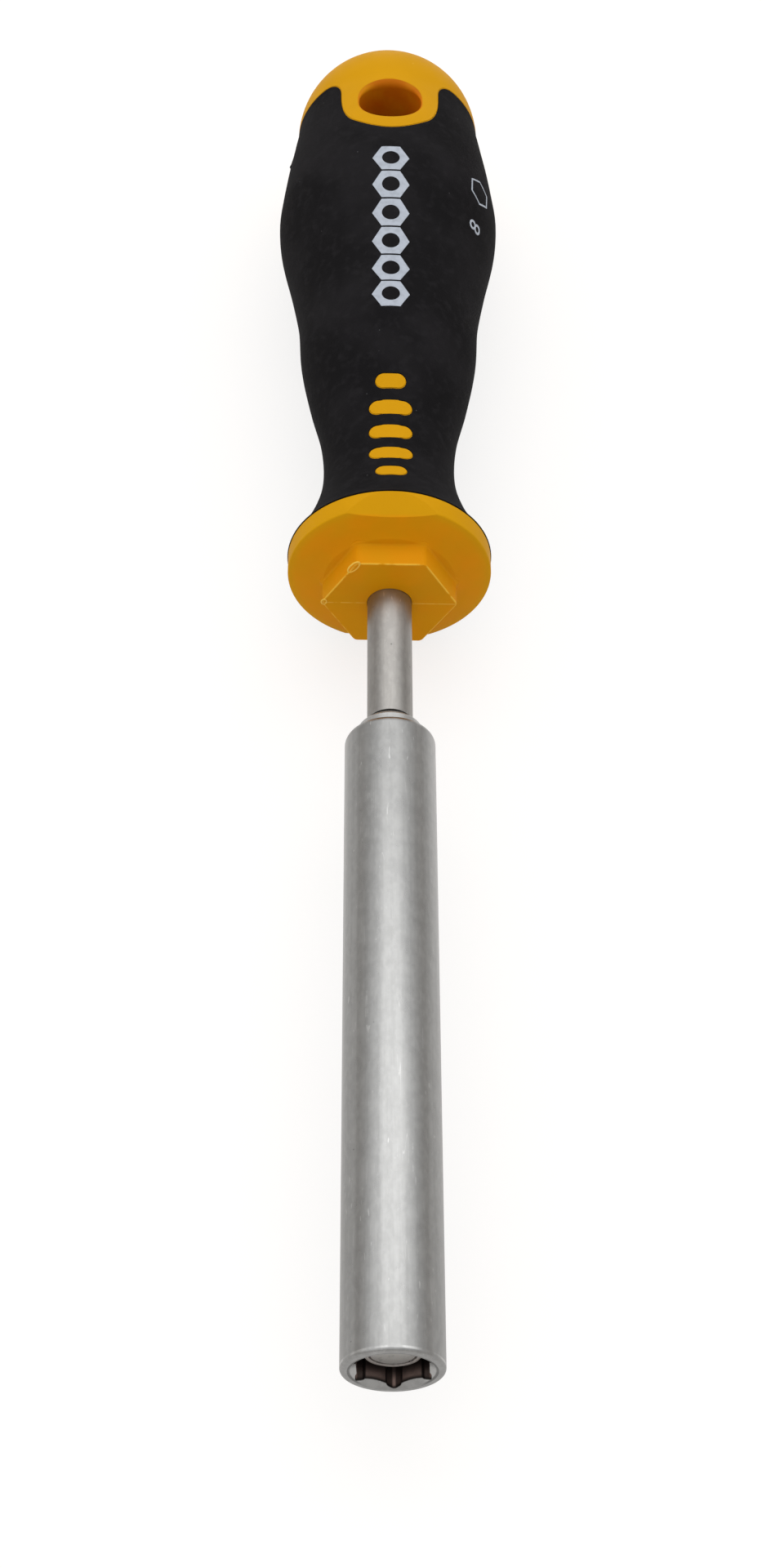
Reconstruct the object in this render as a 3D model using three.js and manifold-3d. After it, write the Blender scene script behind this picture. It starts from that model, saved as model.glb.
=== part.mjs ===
// Nut driver for 8 mm nuts: a tubular blade with a sprung magnet, pressed on a shank in a two-part handle.
// Millimetres. The tool lies along Y with its mouth towards -Y, and +Z is up.

import * as THREE from 'three';
import { mergeVertices } from 'three/addons/utils/BufferGeometryUtils.js';
import Module from 'manifold-3d';

const wasm = await Module();
wasm.setup();

// Driving dimensions of the whole tool
const bladeLength = 110;
const handleLength = 109;
const gripRadius = 16.5;
const acrossFlats = 8.1;

// Clearances and cutting allowance
const fitGap = 0.3;
const closeGap = 0.15;
const headGap = 0.4;
const overrun = 1;

// Socket tube
const cornerWall = 1;
const tubeLength = 89;
const edgeRound = 0.95;
const mouthLand = 0.05;
const mouthDepth = 0.9;
const socketDepth = 13;
const socketTurn = THREE.MathUtils.degToRad(3.2);
const reliefRadius = 0.65;
const reliefReach = 0.22;
const boreRadius = 3.6;
const springSeat = 36;
const grooveDepth = 0.5;
const grooveWidth = 1.3;
const shoulderLength = 3.2;
const neckWall = 0.8;
const neckLength = 0.9;

// Shoulder outline as shares of its length and of its fall to the neck
const shoulderShares = [[0.3, 0.1], [0.56, 0.34], [0.72, 0.6], [0.88, 0.86]];

// Shank
const shankRadius = 3;
const spigotLength = 23;
const stepGap = 0.6;
const shankInHandle = 62;
const tipChamfer = 0.8;
const wingSpan = 9.4;
const wingThickness = 2.2;
const wingLength = 14;
const wingFromEnd = 18;

// Magnet, its cup and the snap ring that keeps them in
const cupFace = 1.9;
const cupWall = 0.45;
const cupFloor = 0.85;
const cupNeckStep = 0.6;
const magnetSink = 0.1;
const magnetLength = 3;
const magnetChamfer = 0.25;
const collarLength = 2.9;
const guideGap = 0.5;
const guideLength = 2.8;
const ringPlace = 16;
const ringSlot = 2.4;

// Magnet spring
const wireRadius = 0.3;
const springTurns = 7;
const seatLedge = 0.4;

// Handle core with its bolster, flange, end cap and hanging hole
const bolsterFlats = 16;
const bolsterHeight = 3.5;
const rootLedge = 0.5;
const flangeRadius = 14.05;
const flangeRise = 1.8;
const rimRound = 0.3;
const rimWidth = 2.2;
const scoopDepth = 1.6;
const scoopRadius = 40;
const capRadius = 14;
const holeRadius = 4.8;
const holeFromEnd = 22;
const flareInset = 1.4;
const flareShare = 0.45;
const tongueSideWall = 2.7;
const tongueNoseWall = 3.3;
const tongueCorner = 2.6;
const prongRound = 1.3;

// Rubber grip and the inlaid ribs of the core that come up through it
const rubberWall = 2;
const ribSpan = 6;
const ribLength = 2.4;
const ribPitch = 4.4;
const ribsFromFlange = 15.5;
const ribSpanShares = [0.72, 1, 1, 1, 0.72];

// Grip outline as shares of the grip's length and of its largest radius
const gripShares = [
  [0, 0.848], [0.025, 0.767], [0.071, 0.66], [0.128, 0.58], [0.186, 0.557], [0.255, 0.596],
  [0.335, 0.691], [0.427, 0.775], [0.518, 0.808], [0.61, 0.884], [0.702, 0.978], [0.759, 1],
  [0.8, 0.988], [0.874, 0.939], [0.943, 0.886],
];

// Fineness of the round forms
const facets = 32;
const holeFacets = 28;
const scoopFacets = 96;
const domeSteps = 8;
const roundSteps = 3;
const curveSteps = 4;
const turnSteps = 8;
const wireSides = 5;
const hexSides = 6;
const weldDistance = 0.0001;

// Radii worked out from the sizes above
const socketCorner = acrossFlats / Math.sqrt(3);
const tubeRadius = socketCorner + reliefReach + cornerWall;
const mouthRadius = tubeRadius - edgeRound - mouthLand;
const grooveRadius = boreRadius + grooveDepth;
const springRadius = boreRadius - headGap - wireRadius;
const rearBoreRadius = springRadius - seatLedge;
const neckRadius = rearBoreRadius + neckWall;
const spigotRadius = rearBoreRadius - fitGap;
const cupRadius = boreRadius - headGap;
const pocketRadius = cupRadius - cupWall;
const cupNeckRadius = cupRadius - cupNeckStep;
const collarRadius = boreRadius - closeGap;
const guideRadius = springRadius - wireRadius - guideGap;
const flangeRootRadius = bolsterFlats / 2 + rootLedge;
const tongueHalfWidth = holeRadius + tongueSideWall;

// Places along the tool, counted from the mouth
const ringThickness = grooveWidth - fitGap;
const ringFront = ringPlace + fitGap / 2;
const ringRear = ringFront + ringThickness;
const pocketEnd = cupFace + magnetSink + magnetLength + closeGap;
const cupHeadEnd = pocketEnd + cupFloor;
const collarFront = ringRear + fitGap;
const collarRear = collarFront + collarLength;
const shankStep = tubeLength + stepGap;
const spigotFront = shankStep - spigotLength;
const shankEnd = bladeLength + shankInHandle;
const toolLength = bladeLength + handleLength;
const flangeRoot = bladeLength + bolsterHeight;
const rimFront = flangeRoot + flangeRise;
const gripStart = rimFront + rimRound + rimWidth;
const gripEnd = toolLength - capRadius;
const holePlace = toolLength - holeFromEnd;
const tongueNose = holePlace - holeRadius - tongueNoseWall;
const throughHeight = Math.max(gripRadius, flangeRadius) + overrun;

const looks = {
  tube: new THREE.MeshStandardMaterial({ color: 0xa9a9a6, roughness: 0.42, metalness: 0.9 }),
  shank: new THREE.MeshStandardMaterial({ color: 0x9c9894, roughness: 0.45, metalness: 0.9 }),
  magnet: new THREE.MeshStandardMaterial({ color: 0x8f8e88, roughness: 0.5, metalness: 0.8 }),
  cup: new THREE.MeshStandardMaterial({ color: 0xb5b2aa, roughness: 0.45, metalness: 0.85 }),
  springSteel: new THREE.MeshStandardMaterial({ color: 0x77787a, roughness: 0.4, metalness: 0.9 }),
  yellow: new THREE.MeshStandardMaterial({ color: 0xd79a10, roughness: 0.5, metalness: 0 }),
  rubber: new THREE.MeshStandardMaterial({ color: 0x1c1b1c, roughness: 0.8, metalness: 0 }),
};

// Makes a closed solid, with its faces pointing out, of a three.js geometry
function solidOf(geometry) {
  const bare = geometry.clone();
  bare.deleteAttribute('normal');
  bare.deleteAttribute('uv');
  const merged = mergeVertices(bare, weldDistance);
  const points = merged.attributes.position.array;
  const corners = merged.index.array;
  const faces = [];
  const a = new THREE.Vector3();
  const b = new THREE.Vector3();
  const c = new THREE.Vector3();
  let volume = 0;
  for (let i = 0; i < corners.length; i += 3) {
    const [p, q, r] = corners.subarray(i, i + 3);
    if (p === q || q === r || r === p) continue;
    faces.push([p, q, r]);
    a.fromArray(points, 3 * p);
    b.fromArray(points, 3 * q);
    c.fromArray(points, 3 * r);
    volume += a.dot(b.cross(c));
  }
  const outward = volume > 0 ? faces : faces.map(([p, q, r]) => [p, r, q]);
  return new wasm.Manifold(new wasm.Mesh({
    numProp: 3,
    vertProperties: new Float32Array(points),
    triVerts: new Uint32Array(outward.flat()),
  }));
}

// Adds one named piece to the tool
const tool = new THREE.Group();
function addPiece(name, solid, look) {
  const mesh = solid.getMesh();
  const geometry = new THREE.BufferGeometry();
  geometry.setAttribute('position', new THREE.BufferAttribute(new Float32Array(mesh.vertProperties), 3));
  geometry.setIndex(new THREE.BufferAttribute(new Uint32Array(mesh.triVerts), 1));
  geometry.computeVertexNormals();
  const piece = new THREE.Mesh(geometry, look);
  piece.name = name;
  tool.add(piece);
}

// Turned geometry, from points of radius and distance along its axis
function turnedGeometry(outline, sides = facets) {
  return new THREE.LatheGeometry(outline.map(([radius, place]) => new THREE.Vector2(radius, place)), sides);
}

function turned(outline) {
  return solidOf(turnedGeometry(outline));
}

// Prism along the tool from a shape drawn across it
function prismAlong(shape, from, to) {
  const geometry = new THREE.ExtrudeGeometry(shape, {
    depth: to - from, bevelEnabled: false, curveSegments: curveSteps });
  geometry.rotateX(Math.PI / 2);
  geometry.translate(0, to, 0);
  return solidOf(geometry);
}

// Upright prism from a shape drawn in plan
function prismUp(shape, low, high) {
  const geometry = new THREE.ExtrudeGeometry(shape, {
    depth: high - low, bevelEnabled: false, curveSegments: curveSteps });
  geometry.translate(0, 0, low);
  return solidOf(geometry);
}

// Closed shape with straight sides between corners that all lie as far out, the first at an angle from +X
function polygonShape(sides, corner, firstAngle) {
  const shape = new THREE.Shape();
  for (let i = 0; i < sides; i++) {
    const angle = firstAngle + (2 * Math.PI * i) / sides;
    const point = [corner * Math.cos(angle), corner * Math.sin(angle)];
    if (i === 0) shape.moveTo(...point);
    else shape.lineTo(...point);
  }
  return shape;
}

// Outline points along an arc about a centre
function arcPoints(centreRadius, centrePlace, size, fromAngle, toAngle, steps) {
  const points = [];
  for (let i = 0; i <= steps; i++) {
    const angle = fromAngle + ((toAngle - fromAngle) * i) / steps;
    points.push([centreRadius + size * Math.cos(angle), centrePlace + size * Math.sin(angle)]);
  }
  return points;
}

function tubeOutside() {
  const neckStart = tubeLength - neckLength;
  const shoulderStart = neckStart - shoulderLength;
  const fall = tubeRadius - neckRadius;
  return turned([
    [0, 0],
    ...arcPoints(tubeRadius - edgeRound, edgeRound, edgeRound, -Math.PI / 2, 0, roundSteps),
    [tubeRadius, shoulderStart],
    ...shoulderShares.map(([along, down]) => [tubeRadius - down * fall, shoulderStart + along * shoulderLength]),
    [neckRadius, neckStart],
    [neckRadius, tubeLength],
    [0, tubeLength],
  ]);
}

// Hexagon with rounded corner reliefs, opened out at the mouth by a countersink
function socketCut() {
  const firstAngle = socketTurn - Math.PI / 2;
  let cut = prismAlong(polygonShape(hexSides, socketCorner, firstAngle), -overrun, socketDepth);
  for (let i = 0; i < hexSides; i++) {
    const angle = firstAngle + (2 * Math.PI * i) / hexSides;
    const centre = socketCorner + reliefReach - reliefRadius;
    const relief = new THREE.Shape();
    relief.absarc(centre * Math.cos(angle), centre * Math.sin(angle), reliefRadius, 0, 2 * Math.PI);
    cut = cut.add(prismAlong(relief, -overrun, socketDepth));
  }
  const slope = (mouthRadius - acrossFlats / 2) / mouthDepth;
  const mouth = turned([
    [0, -overrun],
    [mouthRadius + slope * overrun, -overrun],
    [mouthRadius, 0],
    [acrossFlats / 2, mouthDepth],
    [0, mouthDepth],
  ]);
  return cut.add(mouth);
}

function tubeBore() {
  return turned([
    [0, socketDepth - overrun],
    [boreRadius, socketDepth - overrun],
    [boreRadius, ringPlace],
    [grooveRadius, ringPlace],
    [grooveRadius, ringPlace + grooveWidth],
    [boreRadius, ringPlace + grooveWidth],
    [boreRadius, springSeat],
    [rearBoreRadius, springSeat],
    [rearBoreRadius, tubeLength + overrun],
    [0, tubeLength + overrun],
  ]);
}

// Shank with its pressed-flat wings, grown all over by a margin where it serves as a cutter
function shankSolid(margin) {
  const bar = turned([
    [0, spigotFront],
    [spigotRadius - tipChamfer + margin, spigotFront],
    [spigotRadius + margin, spigotFront + tipChamfer],
    [spigotRadius + margin, shankStep],
    [shankRadius + margin, shankStep],
    [shankRadius + margin, shankEnd - tipChamfer + margin],
    [shankRadius - tipChamfer + margin, shankEnd + margin],
    [0, shankEnd + margin],
  ]);
  const wings = new THREE.BoxGeometry(
    wingSpan + 2 * margin, wingLength + 2 * margin, wingThickness + 2 * margin);
  wings.translate(0, shankEnd - wingFromEnd, 0);
  return bar.add(solidOf(wings));
}

function magnetDisc() {
  const radius = pocketRadius - closeGap;
  const face = cupFace + magnetSink;
  return turned([
    [0, face],
    [radius - magnetChamfer, face],
    [radius, face + magnetChamfer],
    [radius, face + magnetLength],
    [0, face + magnetLength],
  ]);
}

// Cup for the magnet, with the neck that passes the ring, the running collar and the spring's guide
function magnetCup() {
  return turned([
    [0, pocketEnd],
    [pocketRadius, pocketEnd],
    [pocketRadius, cupFace],
    [cupRadius - magnetChamfer, cupFace],
    [cupRadius, cupFace + magnetChamfer],
    [cupRadius, cupHeadEnd],
    [cupNeckRadius, cupHeadEnd + cupNeckStep],
    [cupNeckRadius, collarFront],
    [collarRadius, collarFront],
    [collarRadius, collarRear],
    [guideRadius, collarRear],
    [guideRadius, collarRear + guideLength],
    [0, collarRear + guideLength],
  ]);
}

// Snap ring in the tube's groove, open at the top
function retainingRing() {
  const inner = cupNeckRadius + fitGap;
  const outer = grooveRadius - closeGap;
  const ring = turned([
    [inner, ringFront], [outer, ringFront], [outer, ringRear], [inner, ringRear], [inner, ringFront]]);
  const slotHeight = outer + overrun;
  const slot = new THREE.BoxGeometry(ringSlot, ringThickness + 2 * overrun, slotHeight);
  slot.translate(0, (ringFront + ringRear) / 2, slotHeight / 2);
  return ring.subtract(solidOf(slot));
}

// Centre line of the spring's wire, from the collar to the seat in the bore
class SpringPath extends THREE.Curve {
  getPoint(share, target = new THREE.Vector3()) {
    const angle = 2 * Math.PI * springTurns * share;
    const from = collarRear + fitGap + wireRadius;
    const to = springSeat - fitGap - wireRadius;
    return target.set(
      springRadius * Math.cos(angle), from + (to - from) * share, springRadius * Math.sin(angle));
  }
}

function magnetSpring() {
  return solidOf(new THREE.ExtrudeGeometry(polygonShape(wireSides, wireRadius, 0), {
    steps: springTurns * turnSteps, extrudePath: new SpringPath(), bevelEnabled: false }));
}

// Grip outline from the flange to the end cap, in steps of a share or a whole of the spaces between its points
const gripCurve = new THREE.SplineCurve([
  ...gripShares.map(([along, width]) =>
    new THREE.Vector2(width * gripRadius, gripStart + along * (gripEnd - gripStart))),
  new THREE.Vector2(capRadius, gripEnd),
]);

function gripOutline(stepsPerSpace) {
  return gripCurve.getPoints(gripShares.length * stepsPerSpace)
    .map((point) => [Math.min(point.x, gripRadius), point.y]);
}

function gripInset(depth) {
  return gripOutline(1).map(([radius, place]) => [radius - depth, place]);
}

const outerOutline = gripOutline(2);
const domeOutline = arcPoints(0, gripEnd, capRadius, 0, Math.PI / 2, domeSteps);

// Everything inside the handle's outer skin, for what comes up flush with it
function envelope() {
  return turned([[0, gripStart], ...outerOutline, ...domeOutline.slice(1, -1), [0, toolLength]]);
}

// Plan of the yellow tongue round the hanging hole
function tongueShape(margin) {
  const half = tongueHalfWidth + margin;
  const nose = tongueNose - margin;
  const top = gripEnd - margin;
  const bend = (tongueNose + holePlace + tongueCorner) / 2;
  const cheek = half - tongueCorner / 2;
  const chin = bend - tongueCorner / 2;
  const pull = (half - tongueCorner) / 2;
  const shape = new THREE.Shape();
  shape.moveTo(half + prongRound, top + overrun);
  shape.lineTo(half + prongRound, top);
  shape.quadraticCurveTo(half, top, half, top - prongRound);
  shape.lineTo(half, bend + tongueCorner);
  shape.quadraticCurveTo(half, bend, cheek, chin);
  shape.quadraticCurveTo(pull, nose, 0, nose);
  shape.quadraticCurveTo(-pull, nose, -cheek, chin);
  shape.quadraticCurveTo(-half, bend, -half, bend + tongueCorner);
  shape.lineTo(-half, top - prongRound);
  shape.quadraticCurveTo(-half, top, -half - prongRound, top);
  shape.lineTo(-half - prongRound, top + overrun);
  return shape;
}

function tongues(margin) {
  return prismUp(tongueShape(margin), -throughHeight, throughHeight);
}

// Inlaid ribs, each a bar with round ends that stands on the core
function ribs(margin) {
  const middle = (ribSpanShares.length - 1) / 2;
  const foot = shankRadius + fitGap + cornerWall;
  const bars = ribSpanShares.map((spanShare, i) => {
    const place = gripStart + ribsFromFlange + (i - middle) * ribPitch;
    const round = ribLength / 2 + margin;
    const straight = (ribSpan * spanShare - ribLength) / 2;
    const shape = new THREE.Shape();
    shape.absarc(straight, place, round, -Math.PI / 2, Math.PI / 2, false);
    shape.absarc(-straight, place, round, Math.PI / 2, (3 * Math.PI) / 2, false);
    return prismUp(shape, foot, throughHeight);
  });
  return bars.reduce((all, bar) => all.add(bar));
}

// Upright hanging hole, flared above and below
function hangingHole() {
  const flareFoot = capRadius - flareInset;
  const wide = holeRadius + flareShare * (throughHeight - flareFoot);
  const geometry = turnedGeometry([
    [0, -throughHeight],
    [wide, -throughHeight],
    [holeRadius, -flareFoot],
    [holeRadius, flareFoot],
    [wide, throughHeight],
    [0, throughHeight],
  ], holeFacets);
  geometry.rotateX(Math.PI / 2);
  geometry.translate(0, holePlace, 0);
  return solidOf(geometry);
}

// Shallow hollow that flattens the flange's rim on one side and fades out towards the grip
function rimScoop(side) {
  const run = rimWidth + rimRound;
  const geometry = new THREE.CylinderGeometry(scoopRadius, scoopRadius, flangeRadius, scoopFacets);
  geometry.translate(0, 0, scoopRadius);
  geometry.rotateX(Math.atan2(scoopDepth, run));
  geometry.translate(0, rimFront, flangeRadius - scoopDepth);
  if (side < 0) geometry.rotateY(Math.PI);
  return solidOf(geometry);
}

function handleCore() {
  const body = turned([
    [0, flangeRoot],
    [flangeRootRadius, flangeRoot],
    [flangeRadius - rimRound, rimFront],
    [flangeRadius, rimFront + rimRound],
    [flangeRadius, gripStart],
    ...gripInset(rubberWall + fitGap),
    ...domeOutline.slice(0, -1),
    [0, toolLength],
  ]);
  const bolsterCorner = bolsterFlats / Math.sqrt(3);
  const bolster = prismAlong(polygonShape(hexSides, bolsterCorner, 0), bladeLength, rimFront);
  return body
    .subtract(rimScoop(1)).subtract(rimScoop(-1))
    .add(bolster)
    .add(ribs(0).add(tongues(0)).intersect(envelope()))
    .subtract(hangingHole())
    .subtract(shankSolid(fitGap));
}

function rubberGrip() {
  const sleeve = turned([...outerOutline, ...gripInset(rubberWall).reverse(), outerOutline[0]]);
  const front = gripStart + fitGap;
  const rear = gripEnd - fitGap;
  const keep = turned([[0, front], [throughHeight, front], [throughHeight, rear], [0, rear]]);
  return sleeve.intersect(keep).subtract(tongues(fitGap)).subtract(ribs(fitGap));
}

addPiece('socket_tube', tubeOutside().subtract(socketCut()).subtract(tubeBore()), looks.tube);
addPiece('shank', shankSolid(0), looks.shank);
addPiece('magnet_disc', magnetDisc(), looks.magnet);
addPiece('magnet_cup', magnetCup(), looks.cup);
addPiece('retaining_ring', retainingRing(), looks.springSteel);
addPiece('magnet_spring', magnetSpring(), looks.springSteel);
addPiece('handle_core', handleCore(), looks.yellow);
addPiece('rubber_grip', rubberGrip(), looks.rubber);

tool.position.set(0, -toolLength / 2, Math.max(gripRadius, flangeRadius));

const part = new THREE.Group();
part.add(tool);
part.updateMatrixWorld(true);

export default part;
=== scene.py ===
# Finished look of a hand nut driver: its turned, broached, moulded and printed pieces in metres,
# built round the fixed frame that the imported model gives.

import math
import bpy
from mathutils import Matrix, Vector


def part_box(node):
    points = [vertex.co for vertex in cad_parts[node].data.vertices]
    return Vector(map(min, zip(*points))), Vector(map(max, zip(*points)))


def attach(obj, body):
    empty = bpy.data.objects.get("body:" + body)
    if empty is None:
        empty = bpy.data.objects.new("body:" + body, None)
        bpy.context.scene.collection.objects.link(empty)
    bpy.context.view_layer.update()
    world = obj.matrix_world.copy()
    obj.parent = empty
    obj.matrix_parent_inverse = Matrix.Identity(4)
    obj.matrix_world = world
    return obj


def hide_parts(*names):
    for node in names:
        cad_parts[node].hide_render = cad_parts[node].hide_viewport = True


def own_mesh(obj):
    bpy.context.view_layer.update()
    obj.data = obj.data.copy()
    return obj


bl_info = {
    "name": "Nut Driver",
    "version": (1, 0, 0),
    "blender": (4, 5, 0),
    "location": "View3D > Sidebar > Nut Driver",
    "description": "Builds a nut driver with a sprung magnet and a two-part handle round its frame",
    "category": "Add Mesh",
}

from bisect import bisect_right

import bmesh
import bpy
from bpy.props import FloatProperty, FloatVectorProperty, IntProperty, PointerProperty
from mathutils import Matrix, Vector

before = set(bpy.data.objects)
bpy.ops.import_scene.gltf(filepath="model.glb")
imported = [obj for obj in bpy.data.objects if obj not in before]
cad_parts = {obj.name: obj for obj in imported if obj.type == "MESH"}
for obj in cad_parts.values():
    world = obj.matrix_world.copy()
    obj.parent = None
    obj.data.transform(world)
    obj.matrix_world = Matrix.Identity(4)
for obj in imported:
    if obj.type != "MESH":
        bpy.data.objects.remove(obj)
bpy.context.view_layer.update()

MM = 0.001
WELD = 0.0005 * MM
CREASE = math.radians(28)
FULL_TURN = 2 * math.pi

# How far a cutter passes its shape, and the rounds on hidden steel edges and in the socket's corners
OVERRUN = 1 * MM
FINE_EDGE = 0.1 * MM
RELIEF_EDGE = 0.3 * MM

# Places in the frame: the mouth's place along Y and the axis's height
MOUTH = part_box("socket_tube")[0].y
AXIS_HEIGHT = (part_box("socket_tube")[0].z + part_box("socket_tube")[1].z) / 2


def extent(node):
    """A node's two ends, as distances from the mouth, and half its height."""
    low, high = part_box(node)
    return low.y - MOUTH, high.y - MOUTH, (high.z - low.z) / 2


_, TUBE_REAR, TUBE_RADIUS = extent("socket_tube")
SPIGOT_FRONT, SHANK_REAR, SHANK_RADIUS = extent("shank")
DISC_FRONT, DISC_REAR, DISC_RADIUS = extent("magnet_disc")
CUP_FRONT, CUP_REAR, COLLAR_RADIUS = extent("magnet_cup")
RING_FRONT, RING_REAR, RING_RADIUS = extent("retaining_ring")
SPRING_FRONT, SPRING_REAR, SPRING_RADIUS = extent("magnet_spring")
BOLSTER_FRONT, TOOL_REAR, _ = extent("handle_core")
GRIP_RADIUS = extent("rubber_grip")[2]


def length(name, description, millimetres, low=0):
    return FloatProperty(
        name=name, description=description, default=millimetres * MM, min=low, unit="LENGTH", precision=5)


def level(name, description, default):
    return FloatProperty(name=name, description=description, default=default, min=0)


def angle(name, description, degrees):
    return FloatProperty(name=name, description=description, default=math.radians(degrees), unit="ROTATION")


def share(name, description, default):
    return FloatProperty(
        name=name, description=description, default=default, min=0, max=1, subtype="FACTOR")


def count(name, description, default):
    return IntProperty(name=name, description=description, default=default, min=1)


def colour(name, description, default):
    return FloatVectorProperty(
        name=name, description=description, default=default, size=3, min=0, max=1, subtype="COLOR")


class NutDriverFineness(bpy.types.PropertyGroup):
    facets: count("Facets", "Sides of a turned piece", 128)
    arc_steps: count("Arc steps", "Steps of a quarter turn in an outline", 8)
    edge: length("Edge", "Width of the round on a turned metal edge", 0.12)
    skin_step: length("Skin step", "Spacing of the rings along the grip", 0.8)
    seam: length("Seam", "Half width of the groove between the two plastics", 0.11)
    joint_gap: length("Joint gap", "Gap between the two plastics under the groove", 0.05)


class NutDriverTube(bpy.types.PropertyGroup):
    edge_round: length("Mouth round", "Radius of the front edge", 0.4)
    mouth_land: length("Mouth land", "Flat ring between the front edge and the countersink", 0.6)
    mouth_depth: length("Countersink depth", "Depth of the countersink at the mouth", 0.55)
    across_flats: length("Across flats", "Width of the hexagon socket", 8.1)
    socket_depth: length("Socket depth", "Depth of the hexagon", 13)
    socket_turn: angle("Socket turn", "Turn of the hexagon from upright", 3.2)
    relief_radius: length("Relief radius", "Radius of the six-sided corner reliefs", 1.0)
    relief_reach: length("Relief reach", "How far a relief passes the hexagon's corner", 0.22)
    bore: length("Bore", "Radius of the bore that the magnet's collar runs in", 3.6)
    groove_depth: length("Ring groove depth", "Depth of the snap ring's groove", 0.5)
    groove_width: length("Ring groove width", "Width of the snap ring's groove", 1.3)
    groove_place: length("Ring groove place", "Distance of the groove from the mouth", 16)
    spring_seat: length("Spring seat", "Distance of the spring's seat from the mouth", 36)
    rear_bore: length("Rear bore", "Radius of the bore that holds the shank", 2.5)
    shoulder: length("Shoulder", "Length of the rounded shoulder", 1.05)
    shoulder_drop: length("Shoulder drop", "How far the shoulder rounds in towards its step", 0.75)
    neck_front: length("Neck place", "Distance from the tube's end to the step behind the shoulder", 2.4)
    neck_radius: length("Neck radius", "Radius of the neck behind the shoulder", 4.25)
    neck_chamfer: length("Neck chamfer", "Chamfer of the tube's end", 0.85)


class NutDriverShank(bpy.types.PropertyGroup):
    spigot_radius: length("Spigot radius", "Radius of the end pressed in the tube", 2.2)
    step_gap: length("Step gap", "Gap between the tube's end and the shank's step", 0.6)
    chamfer: length("Chamfer", "Chamfer of the shank's ends", 0.8)
    wing_span: length("Wing span", "Width of the flattened wings in the handle", 9.4)
    wing_thickness: length("Wing thickness", "Thickness of the wings", 2.2)
    wing_length: length("Wing length", "Length of the wings", 14)
    wing_from_end: length("Wing place", "Distance of the wings' middle from the shank's end", 18)


class NutDriverMagnet(bpy.types.PropertyGroup):
    cup_radius: length("Cup radius", "Radius of the cup's head", 3.2)
    pocket_radius: length("Pocket radius", "Radius of the pocket for the magnet", 2.75)
    floor_front: length("Pocket end", "Distance of the pocket's floor from the mouth", 5.15)
    floor: length("Cup floor", "Thickness of the cup's floor", 0.85)
    neck_radius: length("Cup neck", "Radius of the neck that passes the ring", 2.6)
    collar_front: length("Collar front", "Distance of the collar from the mouth", 17.45)
    collar_length: length("Collar length", "Length of the running collar", 2.9)
    guide_radius: length("Guide radius", "Radius of the pin inside the spring", 2.1)
    edge: length("Edge", "Round on the magnet's edges", 0.12)
    ring_inner: length("Ring bore", "Inner radius of the snap ring", 2.9)
    ring_slot: length("Ring slot", "Opening of the snap ring", 2.4)
    wire_radius: length("Wire radius", "Radius of the spring's wire", 0.3)
    turns: count("Turns", "Turns of the spring", 7)


class NutDriverHandle(bpy.types.PropertyGroup):
    bolster_flats: length("Bolster flats", "Width across the bolster's flats", 16)
    bolster_height: length("Bolster height", "How far the bolster stands before the flange", 3.5)
    bolster_edge: length("Bolster edge", "Round on the bolster's edges", 0.16)
    bolster_corner: length("Bolster corner", "Round on the bolster's six long edges", 0.45)
    bolster_foot: length("Bolster foot", "Radius of the fillet between the bolster and the flange", 0.4)
    flange_radius: length("Flange radius", "Radius of the flange", 13.9)
    root_radius: length("Flange root", "Radius at which the flange's face begins to slope", 9.0)
    dish_width: length("Dish width", "Width of the hollow part of the flange's face", 2.0)
    dish_rise: length("Dish rise", "How far that part slopes back", 0.72)
    flange_rise: length("Flange rise", "How far the whole face slopes back", 1.4)
    rim_round: length("Rim round", "Radius of the flange's front edge", 0.25)
    rim_width: length("Rim width", "Width of the flange's rim", 2.95)
    facet_depth: length("Facet depth", "Depth of the flat on the rim, above and below", 1.45)
    cap_radius: length("Cap radius", "Radius of the end cap", 14)
    hole_radius: length("Hole radius", "Radius of the hanging hole", 4.7)
    hole_from_end: length("Hole place", "Distance of the hole from the tool's end", 22)
    hole_round_side: length("Hole round aside", "Radius of the hole's edges at its two sides", 0.25)
    hole_round_front: length("Hole round in front", "Radius of those edges towards the mouth", 0.6)
    hole_round_rear: length("Hole round behind", "Radius of those edges towards the end", 1.2)
    tongue_half_width: length("Tongue half width", "Half width of the tongue round the hole", 7.4)
    tongue_nose: length("Tongue nose", "Length of the tongue before the hole's middle", 7.8)
    tongue_blunt: length("Tongue bluntness", "Half width over which the tongue's front is blunt", 2.6)
    cheek_half_width: length("Cheek half width", "Half width where the tongue's front meets its sides", 5.5)
    cheek_place: length("Cheek place", "Distance of that turn before the hole's middle", 4.7)
    side_place: length("Side place", "Where the tongue's sides run straight, behind the hole's middle", 3.5)
    prong_width: length("Prong width", "Width of the turn at the rubber's tips beside the tongue", 2.5)
    prong_length: length("Prong length", "Length of that turn", 4.0)
    shank_gap: length("Shank gap", "Gap between the shank and the handle", 0.06)
    flash: length("Flash", "Radius of the thin beads of flash left by the mould", 0.12)


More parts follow.
